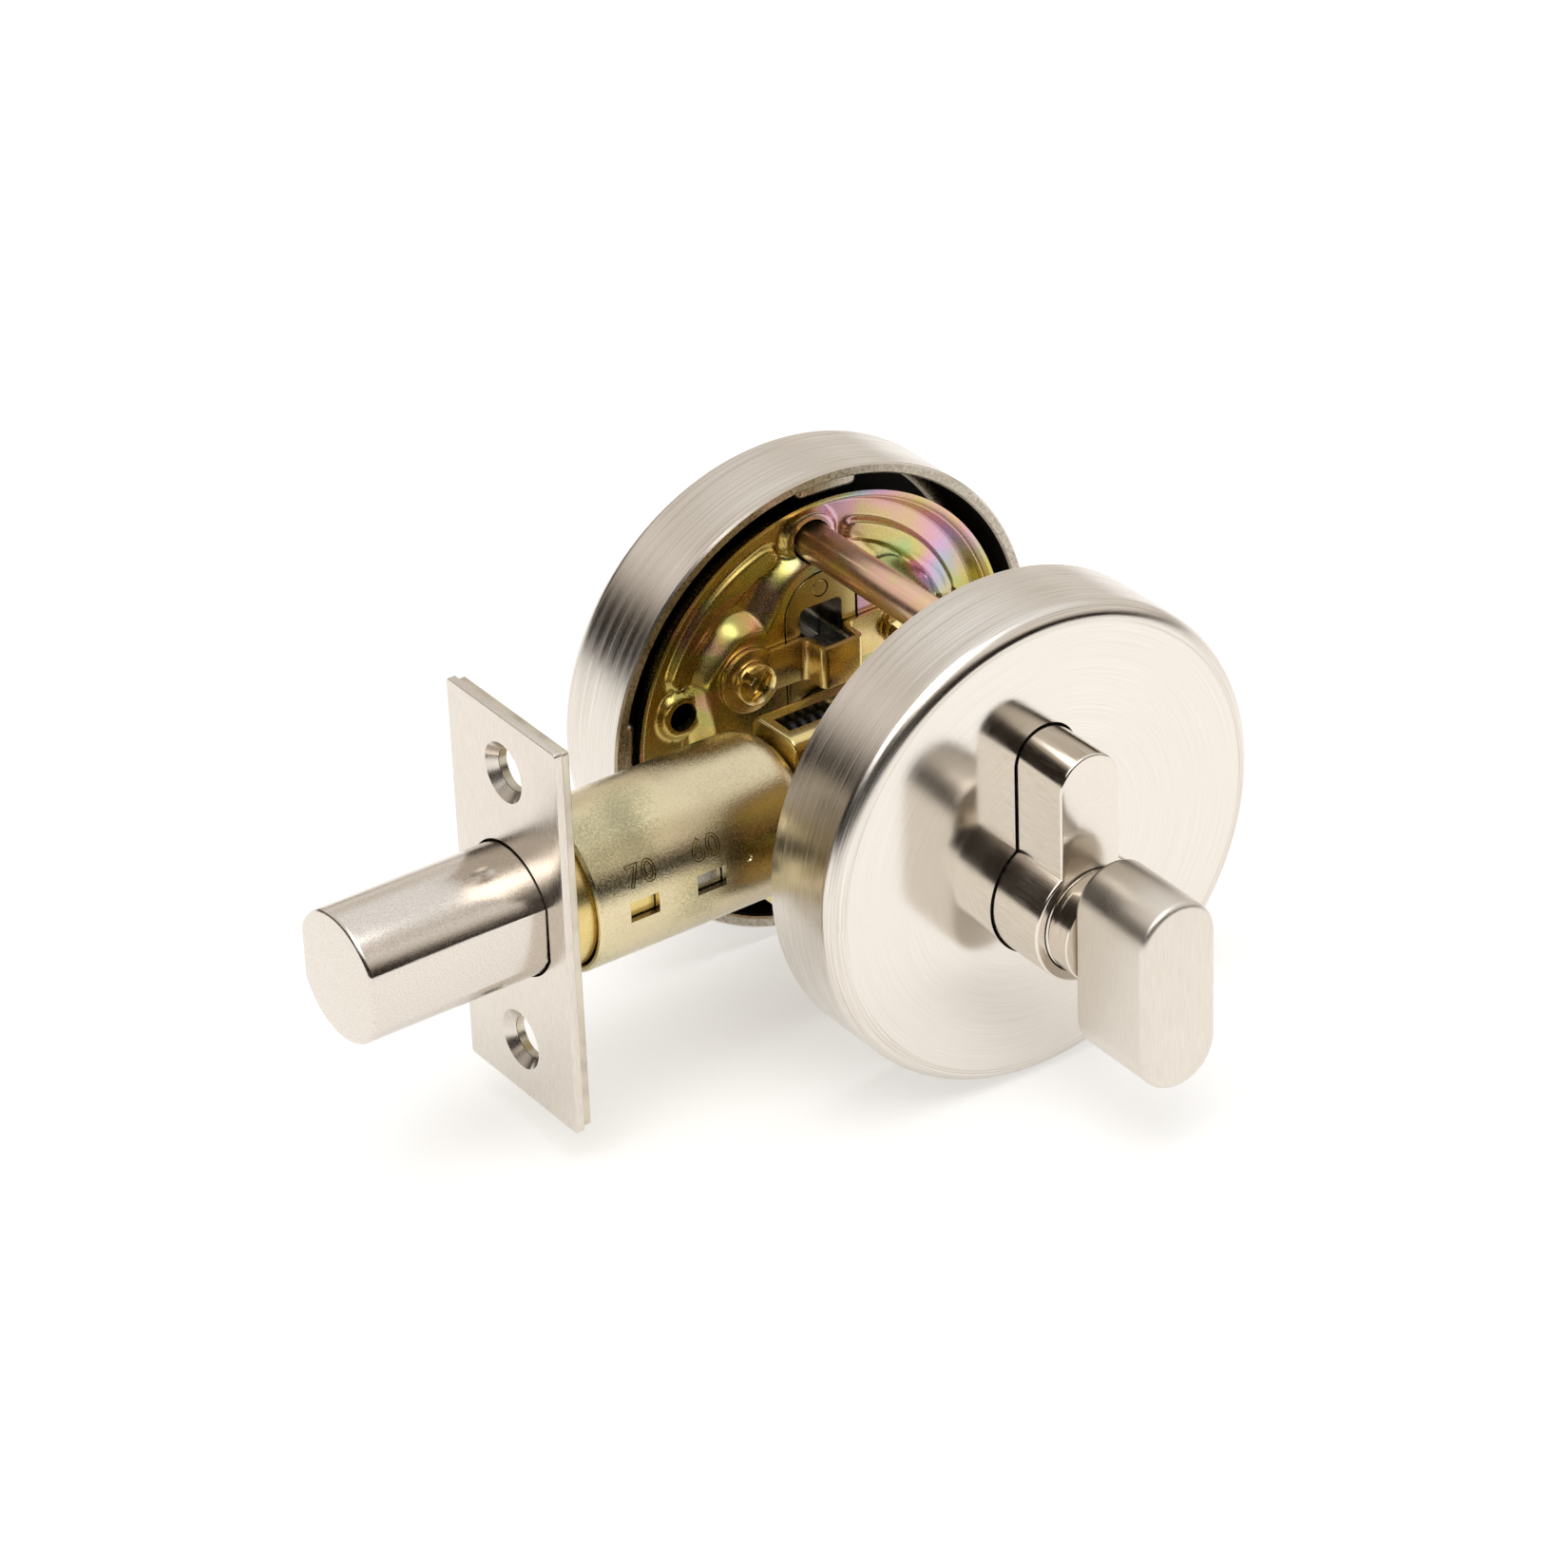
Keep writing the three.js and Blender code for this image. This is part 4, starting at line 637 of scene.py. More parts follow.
# Pan head along Z with a cross recess in a slot, turned to face the door
def panScrewTree():
    sizes = {"Head Radius": 2.8, "Head Height": 1.9, "Shank Radius": 1.5, "Shank Length": 7.0, "Slot Width": 0.8,
             "Slot Depth": 0.9, "Turn": 0.5, "Start": (0.0, 0.0, 0.0), "Step": (1.0, 0.0, 0.0), "Count": 2}
    tree, given = startTree("panHeadScrew", sizes)
    radius, height, width = given["Head Radius"], given["Head Height"], given["Slot Width"]
    size = addNode(tree, "ShaderNodeCombineXYZ", {0: radius, 1: radius, 2: height}).outputs[0]
    ballSize = addNode(tree, "ShaderNodeVectorMath", {0: size, 1: (1.7, 1.7, 1.6)}, operation="MULTIPLY").outputs[0]
    sunk = addNode(tree, "ShaderNodeVectorMath", {0: size, 1: (0, 0, -0.6)}, operation="MULTIPLY").outputs[0]
    ball = addNode(tree, "GeometryNodeMeshUVSphere", {"Segments": 64, "Rings": 32, "Radius": 1.0}).outputs[0]
    dome = addNode(tree, "GeometryNodeTransform", {0: ball, "Scale": ballSize, "Translation": sunk}).outputs[0]
    drum = {"Vertices": 64, "Radius": radius, "Depth": height}
    drum = addNode(tree, "GeometryNodeMeshCylinder", drum).outputs[0]
    half = addNode(tree, "ShaderNodeVectorMath", {0: size, 1: (0, 0, 0.5)}, operation="MULTIPLY").outputs[0]
    drum = addNode(tree, "GeometryNodeTransform", {0: drum, "Translation": half}).outputs[0]
    head = addNode(tree, "GeometryNodeMeshBoolean", {"Mesh 2": [dome, drum]}, operation="INTERSECT").outputs[0]
    lift = addNode(tree, "ShaderNodeMath", {0: height, 1: 1.0}, operation="ADD").outputs[0]  # half a bar's height
    bars = []
    for across, along, stretch, sink in ((radius, width, (3, 1, 2), -1.0), (width, radius, (1.05, 1.5, 2), -1.35)):
        sides = addNode(tree, "ShaderNodeCombineXYZ", {0: across, 1: along, 2: 1.0}).outputs[0]
        sides = addNode(tree, "ShaderNodeVectorMath", {0: sides, 1: stretch}, operation="MULTIPLY").outputs[0]
        bar = addNode(tree, "GeometryNodeMeshCube", {"Size": sides}).outputs[0]
        level = {0: given["Slot Depth"], 1: sink, 2: lift}
        level = addNode(tree, "ShaderNodeMath", level, operation="MULTIPLY_ADD").outputs[0]
        place = addNode(tree, "ShaderNodeCombineXYZ", {2: level}).outputs[0]
        bars.append(addNode(tree, "GeometryNodeTransform", {0: bar, "Translation": place}).outputs[0])
    driven = {"Mesh 1": head, "Mesh 2": bars}
    driven = addNode(tree, "GeometryNodeMeshBoolean", driven, operation="DIFFERENCE").outputs[0]
    shank = {"Vertices": 32, "Radius": given["Shank Radius"], "Depth": given["Shank Length"]}
    shank = addNode(tree, "GeometryNodeMeshCylinder", shank).outputs[0]
    drop = addNode(tree, "ShaderNodeMath", {0: given["Shank Length"], 1: -0.5}, operation="MULTIPLY").outputs[0]
    drop = addNode(tree, "ShaderNodeCombineXYZ", {2: drop}).outputs[0]
    shank = addNode(tree, "GeometryNodeTransform", {0: shank, "Translation": drop}).outputs[0]
    whole = addNode(tree, "GeometryNodeJoinGeometry", {0: [shank, driven]}).outputs[0]
    turn = addNode(tree, "ShaderNodeCombineXYZ", {2: given["Turn"]}).outputs[0]
    spun = addNode(tree, "GeometryNodeTransform", {0: whole, "Rotation": turn}).outputs[0]
    faced = addNode(tree, "GeometryNodeTransform", {0: spun, "Rotation": (math.pi / 2, 0, 0)}).outputs[0]
    return endTree(tree, given, faced)


# Round pin along Z with turned ends, or with riveted heads where a head height is given
def pinTree():
    sizes = {"Radius": 1.3, "Length": 4.0, "Edge": 0.3, "Tilt": (0.0, 0.0, 0.0), "Start": (0.0, 0.0, 0.0),
             "Step": (0.0, 3.4, 0.0), "Count": 5, "Head Radius": 0.0, "Head Height": 0.0}
    tree, given = startTree("turnedPin", sizes)
    radius, length, edge, high = (given[k] for k in ("Radius", "Length", "Edge", "Head Height"))
    straight = addNode(tree, "ShaderNodeMath", {0: edge, 1: -2.0, 2: length}, operation="MULTIPLY_ADD").outputs[0]
    body = {"Vertices": 32, "Radius": radius, "Depth": straight}
    body = addNode(tree, "GeometryNodeMeshCylinder", body).outputs[0]
    slim = addNode(tree, "ShaderNodeMath", {0: radius, 1: edge}, operation="SUBTRACT").outputs[0]
    tip = {"Vertices": 32, "Radius": slim, "Depth": length}
    tip = addNode(tree, "GeometryNodeMeshCylinder", tip).outputs[0]
    both = addNode(tree, "GeometryNodeJoinGeometry", {0: [tip, body]}).outputs[0]
    pin = addNode(tree, "GeometryNodeConvexHull", {0: both}).outputs[0]
    spare = addNode(tree, "ShaderNodeMath", {0: length, 1: high}, operation="SUBTRACT").outputs[0]
    heads = []
    for end in (-0.5, 0.5):
        head = {"Vertices": 32, "Radius": given["Head Radius"], "Depth": high}
        head = addNode(tree, "GeometryNodeMeshCylinder", head).outputs[0]
        shift = addNode(tree, "ShaderNodeMath", {0: spare, 1: end}, operation="MULTIPLY").outputs[0]
        shift = addNode(tree, "ShaderNodeCombineXYZ", {2: shift}).outputs[0]
        heads.append(addNode(tree, "GeometryNodeTransform", {0: head, "Translation": shift}).outputs[0])
    pair = addNode(tree, "GeometryNodeJoinGeometry", {0: heads}).outputs[0]
    headed = addNode(tree, "GeometryNodeMeshBoolean", {"Mesh 2": [pin, pair]}, operation="UNION").outputs[0]
    wanted = addNode(tree, "FunctionNodeCompare", {0: high, 1: 0.01}, operation="GREATER_THAN").outputs[0]
    chosen = {"Switch": wanted, "False": pin, "True": headed}
    chosen = addNode(tree, "GeometryNodeSwitch", chosen, input_type="GEOMETRY").outputs[0]
    tilted = addNode(tree, "GeometryNodeTransform", {0: chosen, "Rotation": given["Tilt"]}).outputs[0]
    return endTree(tree, given, tilted)


# Coil spring of round wire along Z
def coilTree():
    sizes = {"Radius": 1.5, "Wire": 0.4, "Turns": 5.0, "Length": 8.0, "Steps": 24, "Tilt": (0.0, 0.0, 0.0),
             "Start": (0.0, 0.0, 0.0), "Step": (0.0, 3.4, 0.0), "Count": 1}
    tree, given = startTree("coilSpring", sizes)
    turns = {"Resolution": given["Steps"], "Rotations": given["Turns"], "Start Radius": given["Radius"],
             "End Radius": given["Radius"], "Height": given["Length"]}
    path = addNode(tree, "GeometryNodeCurveSpiral", turns).outputs[0]
    section = addNode(tree, "GeometryNodeCurvePrimitiveCircle", {"Resolution": 12, "Radius": given["Wire"]}).outputs[0]
    wire = addNode(tree, "GeometryNodeCurveToMesh", {0: path, 1: section, "Fill Caps": True}).outputs[0]
    tilted = addNode(tree, "GeometryNodeTransform", {0: wire, "Rotation": given["Tilt"]}).outputs[0]
    return endTree(tree, given, tilted)


def middleOf(box):
    return tuple(500 * (low + high) for low, high in zip(*box))


screwTree, turnedPinTree, springTree = panScrewTree(), pinTree(), coilTree()
alongX = (0.0, math.pi / 2, 0.0)
postCircle = plate["postCircle"]
strapScrew = {"Start": (-strap["earX"], 16.5, strap["earZ"]), "Step": (2 * strap["earX"], 0.0, 0.0), "Turn": 2.32,
              "Head Height": 1.9, "Slot Depth": 1.0, "Slot Width": 1.2}
for side in profiles:
    pair = softened(grow(screwTree, side + "StrapScrews", strapScrew, screwZinc), 0.08, 2, 35)
    finishPiece(pair, side + "StrapScrews", None, "root", "yellow_zinc",
                [side + "_strap_screw_a", side + "_strap_screw_b"], side == "inner")
mountScrew = {"Start": (0.0, -21.45, axisHeight - postCircle), "Step": (0.0, 0.0, 2 * postCircle), "Head Radius": 3.9,
              "Head Height": 2.2, "Shank Radius": 1.9, "Shank Length": 12.0, "Slot Width": 0.9}
pair = grow(screwTree, "mountingScrews", mountScrew, screwZinc)
finishPiece(pair, "mountingScrews", None, "root", "yellow_zinc", ["mounting_screw_upper", "mounting_screw_lower"])
sawPin = {"Radius": 2.0, "Length": 30.0, "Edge": 0.25, "Tilt": alongX, "Start": (-64.5, -3.6, 3.4),
          "Step": (0.0, 7.2, 0.0), "Count": 2}
pins = grow(turnedPinTree, "sawPins", sawPin, steelGround)
finishPiece(pins, "sawPins", None, "bolt_unit", "steel", ["saw_pin_inside", "saw_pin_outside"])
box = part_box("case_rivet_inside")
caseRivet = {"Radius": 1.0, "Length": 1000 * (box[1].x - box[0].x), "Edge": 0.05, "Tilt": alongX,
             "Start": middleOf(box), "Step": (0.0, 3.5, 0.0), "Count": 2, "Head Radius": 1.5, "Head Height": 0.9}
pins = grow(turnedPinTree, "caseRivets", caseRivet, steelGround)
finishPiece(pins, "caseRivets", None, "root", "steel", ["case_rivet_inside", "case_rivet_outside"])
pinNumbers = range(1, cylinder["pins"] + 1)
for name, node, edge, body in (("keyPins", "key_pin_", 0.45, "key_unit"), ("driverPins", "driver_pin_", 0.2, "root")):
    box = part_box(node + "1")
    lockPin = {"Radius": 1.3, "Length": 1000 * (box[1].z - box[0].z), "Edge": edge, "Start": middleOf(box)}
    pins = grow(turnedPinTree, name, lockPin, brassDrawn)
    finishPiece(pins, name, None, body, "brass", [f"{node}{i}" for i in pinNumbers])
low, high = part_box("pin_spring_1")
firstY = cylinder["notchFloor"] + cylinder["firstPin"]
pinSpring = {"Radius": 0.95, "Wire": 0.2, "Turns": 4.0, "Steps": 18, "Length": 1000 * (high.z - low.z) - 0.42,
             "Start": (0.0, firstY, 1000 * low.z + 0.21), "Count": cylinder["pins"]}
springs = grow(springTree, "pinSprings", pinSpring, steelGround)
finishPiece(springs, "pinSprings", None, "root", "steel", [f"pin_spring_{i}" for i in pinNumbers])
low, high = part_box("detent_spring")
detentSpring = {"Radius": 1.4, "Wire": 0.5, "Turns": 5.0, "Steps": 28, "Length": 1000 * (high.x - low.x) - 1.04,
                "Tilt": alongX, "Start": (1000 * low.x + 0.52, 0.0, axisHeight + 8.6)}  # high, so it shows in its slot
springs = grow(springTree, "detentSpring", detentSpring, blackOxide)
finishPiece(springs, "detentSpring", None, "root", "black_oxide", ["detent_spring"])
print("screws, pins and springs grown")

barrel = dict(radius=10.8, wall=0.9, mouth=-54, end=-20.05, dome=4.5, windows=(-37.4, -47.4), windowHalf=(2.15, 1.4),
              windowAngle=-2, marks=(("60", -37.5), ("70", -47.1)), markAngle=25.4, markSize=4.2, markDepth=0.22,
              markStroke=0.085, pit=(-31.7, 7.7))


# Outlined figures stamped in the barrel wall
def markTool(text, x):
    shapes = []
    for offset, extrude in ((barrel["markStroke"], barrel["markDepth"]), (-barrel["markStroke"], barrel["markDepth"] * 1.5)):
        curve = bpy.data.curves.new("figures", "FONT")
        curve.body, curve.size, curve.align_x, curve.align_y = text, barrel["markSize"], "CENTER", "CENTER"
        curve.offset, curve.extrude, curve.resolution_u, curve.space_character = offset, extrude, 5, 1.08
        holder = bpy.data.objects.new("figures", curve)
        bpy.context.scene.collection.objects.link(holder)
        bpy.context.view_layer.update()
        mesh = bpy.data.meshes.new_from_object(holder.evaluated_get(bpy.context.evaluated_depsgraph_get()))
        bpy.data.objects.remove(holder)
        solid = bpy.data.objects.new("figures", mesh)
        bpy.context.scene.collection.objects.link(solid)
        outward(solid)
        shapes.append(solid)
    ring = cutAway(shapes[0], shapes[1])
    angle = math.radians(barrel["markAngle"])
    for vertex in ring.data.vertices:
        across, along, out = vertex.co
        a = angle + along / barrel["radius"]
        radius = barrel["radius"] + out
        vertex.co = (x + across, -radius * math.cos(a), radius * math.sin(a))
    outward(ring)
    return ring


def windowTool(x, gapX=0.0, gapZ=0.0):
    halfX, halfZ = barrel["windowHalf"][0] + gapX, barrel["windowHalf"][1] + gapZ
    tool = block((x - halfX, x + halfX), (-barrel["radius"] - 1, -barrel["radius"] * 0.5), (-halfZ, halfZ))
    tool.data.transform(Matrix.Rotation(math.radians(barrel["windowAngle"]), 4, "X"))
    return tool


def makeBarrel():
    b = barrel
    r, inner = b["radius"], b["radius"] - b["wall"]
    dome, innerDome = b["dome"], b["dome"] - b["wall"]
    profile = [(b["mouth"] + 0.3, inner), (b["mouth"], inner + 0.25), (b["mouth"], r - 0.25), (b["mouth"] + 0.35, r)]
    profile += arcPoints((b["end"] - dome, r - dome), dome, 90, 0, 14) + [(b["end"], 0.4)]
    profile += [(b["end"] - b["wall"], 0.4)] + arcPoints((b["end"] - dome, r - dome), innerDome, 0, 90, 10)
    shell = turnedPiece("shell", profile, axis="X", sides=256, capped=False)
    rackWay = block((b["end"] - 1.8, -17.4), (-2.7, 2.7), (1.217 - 0.3, 6.3))
    rivetWays = [rod(1.1, b["end"] - 1.8, -17.4, (hand * 1.75, -3.8), "X", 32) for hand in (-1, 1)]
    cutAway(shell, rackWay, *rivetWays, *[windowTool(x) for x in b["windows"]])
    for text, x in b["marks"]:
        cutAway(shell, markTool(text, x))
    a = math.radians(b["pit"][1])
    pit = turnedPiece("pit", [(-r - 0.5, 0.8), (-r + 0.25, 0.35)], (b["pit"][0], 0), sides=24)
    pit.data.transform(Matrix.Rotation(-a, 4, "X"))
    cutAway(shell, pit)

    # Faces inside the stamped figures take painted shade, a darker olive in the grooves
    def choose(middle):
        away = math.hypot(middle.y, middle.z)
        inStamp = any(abs(middle.x - x) < 3.2 for _, x in b["marks"]) and middle.z > b["windowHalf"][1] + 0.5
        return 1 if inStamp and inner + 0.3 < away < r - 0.02 else 0
    paintFaces(shell, (barrelZinc, paintedStampShade), choose)
    finishPiece(shell, "barrelShell", None, "root", "yellow_zinc", ["barrel"], lift=axisHeight)


makeBarrel()
sleeve = dict(radius=9.65, inner=9.05, start=-57.6, end=-28.6, edge=0.1, gap=0.1)
s, firstWindow = sleeve, barrel["windows"][0]
profile = [(s["start"], s["inner"]), (s["start"], s["radius"] - s["edge"]), (s["start"] + s["edge"], s["radius"]),
           (s["end"] - s["edge"], s["radius"]), (s["end"], s["radius"] - s["edge"]), (s["end"], s["inner"])]
tube = turnedPiece("tube", profile, axis="X", sides=192, capped=False)
cutAway(tube, windowTool(firstWindow, s["gap"], s["gap"]))
finishPiece(tube, "innerSleeve", sleeveZinc, "front_unit", "yellow_zinc", ["inner_sleeve"], lift=axisHeight)
tabEnds = (firstWindow - barrel["windowHalf"][0], firstWindow + barrel["windowHalf"][0])
profile = [(tabEnds[0], s["inner"]), (tabEnds[0], s["radius"]), (tabEnds[1], s["radius"]), (tabEnds[1], s["inner"])]
tab = turnedPiece("tab", profile, axis="X", sides=192, capped=False)
cutAway(tab, windowTool(firstWindow, 1.0), operation="INTERSECT")
finishPiece(tab, "backsetTab", steelGround, "front_unit", "steel", ["backset_tab"], lift=axisHeight)
case = dict(front=-20, rear=13.5, half=4.8, top=10.8, bottom=-16.5, wall=1.3, fold=1.7, slotHalf=1.75, hub=5.45)


# Channel folded from strip: rounded shoulders, open below, a front wall towards the barrel
def makeCase():
    c = case

    def channel(inset):
        h, t, f = c["half"] - inset, c["top"] - inset, c["fold"] - inset
        return ([(h, c["bottom"] + inset)] + arcPoints((h - f, t - f), f, 0, 90, 8)
                + arcPoints((-h + f, t - f), f, 90, 180, 8) + [(-h, c["bottom"] + inset)])
    shell = runPiece("case", channel, c["front"], c["rear"], (0.35, 0.2), "X")
    h, t, f = c["half"] - c["wall"], c["top"] - c["wall"], 0.5
    hollow = runPiece("hollow", lambda inset: [(h, c["bottom"] - 1)] + arcPoints((h - f, t - f), f, 0, 90, 4)
                      + arcPoints((-h + f, t - f), f, 90, 180, 4) + [(-h, c["bottom"] - 1)],
                      c["front"] + c["wall"], c["rear"] + 1, axis="X")
    slotEnd = 1000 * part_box("detent_spring")[1].x + 1.5
    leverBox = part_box("lever_pin")
    leverX, leverZ = 500 * (leverBox[0].x + leverBox[1].x), 500 * (leverBox[0].z + leverBox[1].z) - axisHeight
    tools = [hollow, rod(c["hub"], -6, 6, (0, -axisHeight), sides=96),
             block((c["front"] + c["wall"], slotEnd), (-c["slotHalf"], c["slotHalf"]), (t - c["wall"], c["top"] + 1)),
             rod(1.1, -6, 6, (leverX, leverZ), sides=32), block((-21, -17.4), (-2.7, 2.7), (0.917, 6.3))]
    tools += [rod(1.1, -21, -17.4, (hand * 1.75, -3.8), "X", 32) for hand in (-1, 1)]
    cutAway(shell, *tools)
    finishPiece(shell, "actuatorCase", caseZinc, "root", "yellow_zinc", ["actuator_case"], lift=axisHeight)


makeCase()
print("barrel, sleeve and case made")


bolt = dict(radius=8.8, flat=8.0, front=-85.5, rear=-49.5, edge=0.6)


def boltOutline(extra=0.0, steps=40):
    def outline(inset):
        r, f = bolt["radius"] + extra - inset, bolt["flat"] + extra - inset
        corner = math.degrees(math.acos(f / r))
        return (arcPoints((0, 0), r, corner, 180 - corner, steps)
                + arcPoints((0, 0), r, 180 + corner, 360 - corner, steps))
    return outline


def makeBolt():
    bar = runPiece("bar", boltOutline(), bolt["front"], bolt["rear"], (bolt["edge"], 0.3), "X")
    slot = block((-78.0, -48), (-2.65, 2.65), (2.15, 6.25))
    bores = [rod(2.1, -80.5, -48, (hand * 3.6, -2.6), "X", 32) for hand in (-1, 1)]
    pinBore = rod(1.3, -9, 9, (-55.5, 4.2), "Y", 32)
    cutAway(bar, slot, pinBore, *bores)
    finishPiece(bar, "boltBar", boltNickel, "bolt_unit", "bolt_nickel", ["bolt"], lift=axisHeight)


facePlate = dict(x=(-60, -58.8), halfWidth=12, halfHeight=27.5, corner=0.5, edge=0.14, holes=19.5, holeRadius=2.8,
                 sink=4.1, backX=(-58.75, -57.65), backInset=0.4)


def faceOutline(less=0.0):
    w, h = facePlate["halfWidth"] - less, facePlate["halfHeight"] - less
    return roundedBox((-w, w), (-h, h), facePlate["corner"], 5)


def makeFaceplates():
    f = facePlate
    front = runPiece("front", faceOutline(), *f["x"],
                     (f["edge"], f["edge"]), "X", 3)
    mouth = runPiece("mouth", boltOutline(0.3), -61, -56, axis="X")
    sinks = []
    for hand in (-1, 1):
        cone = turnedPiece("cone", [(f["x"][0] - 0.05, f["sink"]), (f["x"][1] + 0.05, f["holeRadius"])],
                           (0, hand * f["holes"]), "X", 64)
        sinks.append(cone)
    cutAway(front, mouth, *sinks)
    finishPiece(front, "faceplateFront", plateNickel, "front_unit", "satin_nickel", ["faceplate"], lift=axisHeight)
    back = runPiece("back", faceOutline(f["backInset"]), *f["backX"],
                    (0.12, 0.12), "X", 3)
    mouth = runPiece("mouth", boltOutline(0.3), -61, -56, axis="X")
    cutAway(back, mouth, *[rod(f["holeRadius"], -61, -56, (0, hand * f["holes"]), "X", 64) for hand in (-1, 1)])
    finishPiece(back, "faceplateBacking", backingZinc, "front_unit", "yellow_zinc", ["faceplate_backing"],
                lift=axisHeight)


makeBolt()
makeFaceplates()
print("faceplate and bolt made")


knob = dict(half=5.75, top=10.7, bottom=-15.8, back=43, depth=13.6, edge=0.9, boss=4.6, bossLength=6.1, screwY=46,
            screw=1.6)


def knobOutline(inset, steps=40):
    h = knob["half"] - inset
    return (arcPoints((0, knob["top"] - knob["half"]), h, 0, 180, steps)
            + arcPoints((0, knob["bottom"] + knob["half"]), h, 180, 360, steps))


body = runPiece("knob", knobOutline, knob["back"], knob["back"] + knob["depth"], (knob["edge"], knob["edge"]))
cutAway(body, rod(knob["boss"], knob["back"] - 1, knob["back"] + knob["bossLength"], sides=64),
        rod(knob["screw"], knob["bottom"] - 1, 0, (0, knob["screwY"]), "Z", 32))
finishPiece(body, "thumbturnKnob", knobNickel, "thumbturn", "satin_nickel", ["thumbturn_knob"], True)
setScrew = dict(radius=1.5, top=-4.6, length=6.0, socket=0.75)
foot = setScrew["top"] - setScrew["length"]
screw = rod(setScrew["radius"], foot, setScrew["top"], (0, knob["screwY"]), "Z", 32, 0.15)
cutAway(screw, rod(setScrew["socket"], -11, -9.4, (0, knob["screwY"]), "Z", 6))
finishPiece(screw, "knobSetScrew", blackOxide, "thumbturn", "steel", ["knob_set_screw"], True)
spindle = dict(start=16.0, radius=7.0, end=42.95, boss=4.5, bossEnd=49.0, ring=38.9, ringDepth=0.25, edge=0.2)
s = spindle
ring, sunk = s["ring"], s["radius"] - s["ringDepth"]
profile = [(s["start"], s["radius"] - s["edge"]), (s["start"] + s["edge"], s["radius"]), (ring, s["radius"]),
           (ring + 0.15, sunk), (ring + 0.4, sunk), (ring + 0.55, s["radius"]), (s["end"] - 0.15, s["radius"]),
           (s["end"], s["radius"] - 0.15), (s["end"], s["boss"]), (s["bossEnd"] - s["edge"], s["boss"]),
           (s["bossEnd"], s["boss"] - s["edge"])]
neck = turnedPiece("neck", profile, sides=128)
groove = turnedPiece("groove", [(16.5, 6.3), (16.5, 8.4), (17.4, 8.4), (17.4, 6.3)], sides=96, capped=False)
tailWay = block((-1.3, 1.3), (15, 20.4), (-3.2, 3.2))
cutAway(neck, tailWay, groove)
finishPiece(neck, "thumbturnSpindle", plugNickel, "thumbturn", "satin_nickel", ["thumbturn_spindle"], True)
for end in ("upper", "lower"):
    post = softened(cadCopy("mounting_post_" + end, "post"), 0.16)
    finishPiece(post, end + "Post", postZinc, "root", "yellow_zinc", ["mounting_post_" + end], smooth=40)
softParts = dict(key_plug=(brassDrawn, 0.12, "key_unit", "brass"),
                 pinion=(blackOxide, 0.12, "thumbturn", "black_oxide"),
                 bolt_rack=(steelGround, 0.1, "rack_unit", "steel"), tailpiece=(steelGround, 0.15, "thumbturn", "steel"),
                 locking_lever=(steelGround, 0.1, "root", "steel"))
for node, (metal, edge, body, slot) in softParts.items():
    piece = softened(cadCopy(node, node), edge)
    finishPiece(piece, node + "Piece", metal, body, slot, [node])
for node in ("rack_pin", "lever_pin", "key_plug_clip", "thumbturn_clip"):
    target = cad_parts[node]
    target.data.materials.clear()
    target.data.materials.append(steelGround)
print("thumbturn, posts and inner works made")

# Matt white paper with a faint mottle; a little of its own light stands in for the bounce inside the tent
ground = newPiece("floor", [(-3, -3, 0), (3, -3, 0), (3, 3, 0), (-3, 3, 0)], [(0, 1, 2, 3)])
ground.data.transform(Matrix.Translation((0, 0, cadBounds[0][2])))
backdrop = {"Roughness": 0.9, "Emission Color": (1, 1, 1, 1), "Emission Strength": 0.47}
material, tree, shader = startMaterial("paperBackdrop", **backdrop)
mottle = {"Vector": placeVector(tree), "Scale": 0.02, "Detail": 2, "Roughness": 0.6}
paper = addNode(tree, "ShaderNodeTexNoise", mottle).outputs["Fac"]
paper = addNode(tree, "ShaderNodeValToRGB", {0: paper}, [(0.3, "#dadad9"), (0.7, "#dededd")]).outputs[0]
tree.links.new(paper, shader.inputs["Base Color"])
ground.data.materials.append(material)

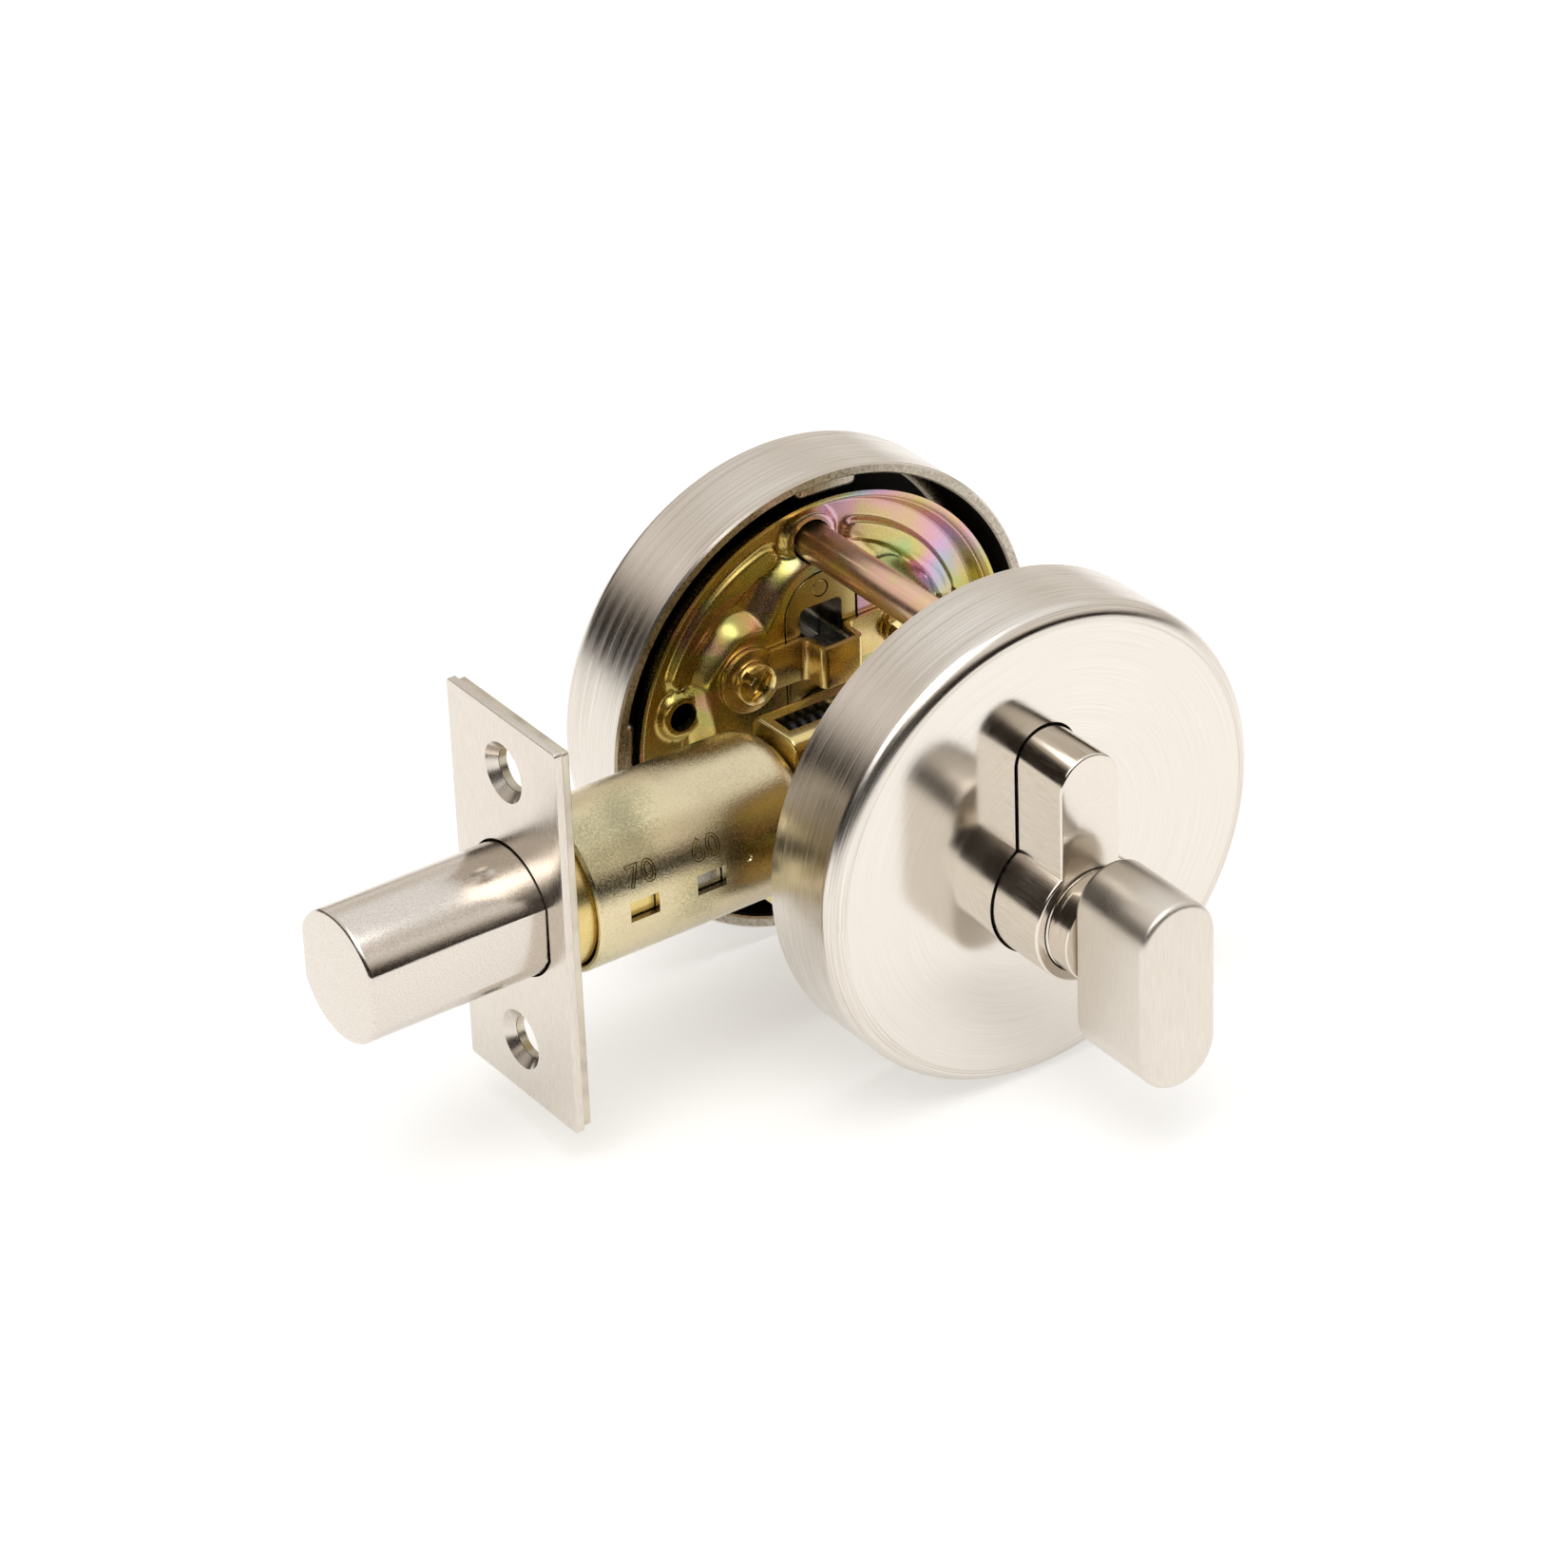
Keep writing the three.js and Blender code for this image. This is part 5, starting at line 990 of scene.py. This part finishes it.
# Light tent: white overhead and on the key side, dim low down towards the door edge, which gives edges their dark bands
tent = [(0.2, "#251d16"), (0.3, "#3d342a"), (0.37, "#968b7f"), (0.44, "#d3cbc1"), (0.6, "#f6f1ea"), (0.77, "#ddd6cd"),
        (0.88, "#eeeae4"), (1.0, "#ffffff")]
world = bpy.data.worlds.new("studio")
world.use_nodes = True
tree = world.node_tree
way = addNode(tree, "ShaderNodeTexCoord").outputs["Generated"]
level = addNode(tree, "ShaderNodeVectorMath", {0: way, 1: (0.35, 0.25, 1.0)}, operation="DOT_PRODUCT").outputs["Value"]
glow = tree.nodes["Background"]
tree.links.new(addNode(tree, "ShaderNodeValToRGB", {0: level}, tent).outputs[0], glow.inputs[0])
glow.inputs[1].default_value = 1.0
bpy.context.scene.world = world
bpy.context.scene.view_settings.view_transform = "Standard"

lamps = {
    "topSoftbox": dict(place=(-0.3, -0.3, 1.2), size=0.9, power=6, aim=(0, 0, 0)),
    "leftSoftbox": dict(place=(-1.0, -0.2, 1.0), size=0.6, power=2, aim=(0, 0, 0)),
}
for name, lamp in lamps.items():
    data = bpy.data.lights.new(name, "AREA")
    data.shape, data.size, data.energy = "SQUARE", lamp["size"], lamp["power"]
    holder = bpy.data.objects.new(name, data)
    holder.location = lamp["place"]
    away = Vector(lamp["place"]) - Vector(lamp["aim"])
    holder.rotation_euler = away.to_track_quat("Z", "Y").to_euler()
    bpy.context.scene.collection.objects.link(holder)

view = dict(turn=-34.26, rise=31.35, roll=-2.25, away=0.79225, target=(-0.01872, 0, 0.00816), lens=143.97)
turn, rise, roll = (math.radians(view[k]) for k in ("turn", "rise", "roll"))
back = Vector((math.sin(turn) * math.cos(rise), -math.cos(turn) * math.cos(rise), math.sin(rise)))
across = (-back).cross(Vector((0, 0, 1))).normalized()
over = across.cross(-back)
rolledX = math.cos(roll) * across + math.sin(roll) * over
rolledY = -math.sin(roll) * across + math.cos(roll) * over
data = bpy.data.cameras.new("camera")
data.lens, data.sensor_width, data.sensor_height, data.sensor_fit = view["lens"], 36, 36, "AUTO"
data.clip_start, data.clip_end = 0.01, 20
camera = bpy.data.objects.new("camera", data)
pose = Matrix((rolledX, rolledY, back)).transposed().to_4x4()
pose.translation = Vector(view["target"]) + back * view["away"]
camera.matrix_world = pose
bpy.context.scene.collection.objects.link(camera)
bpy.context.scene.camera = camera
print("camera and lights set")
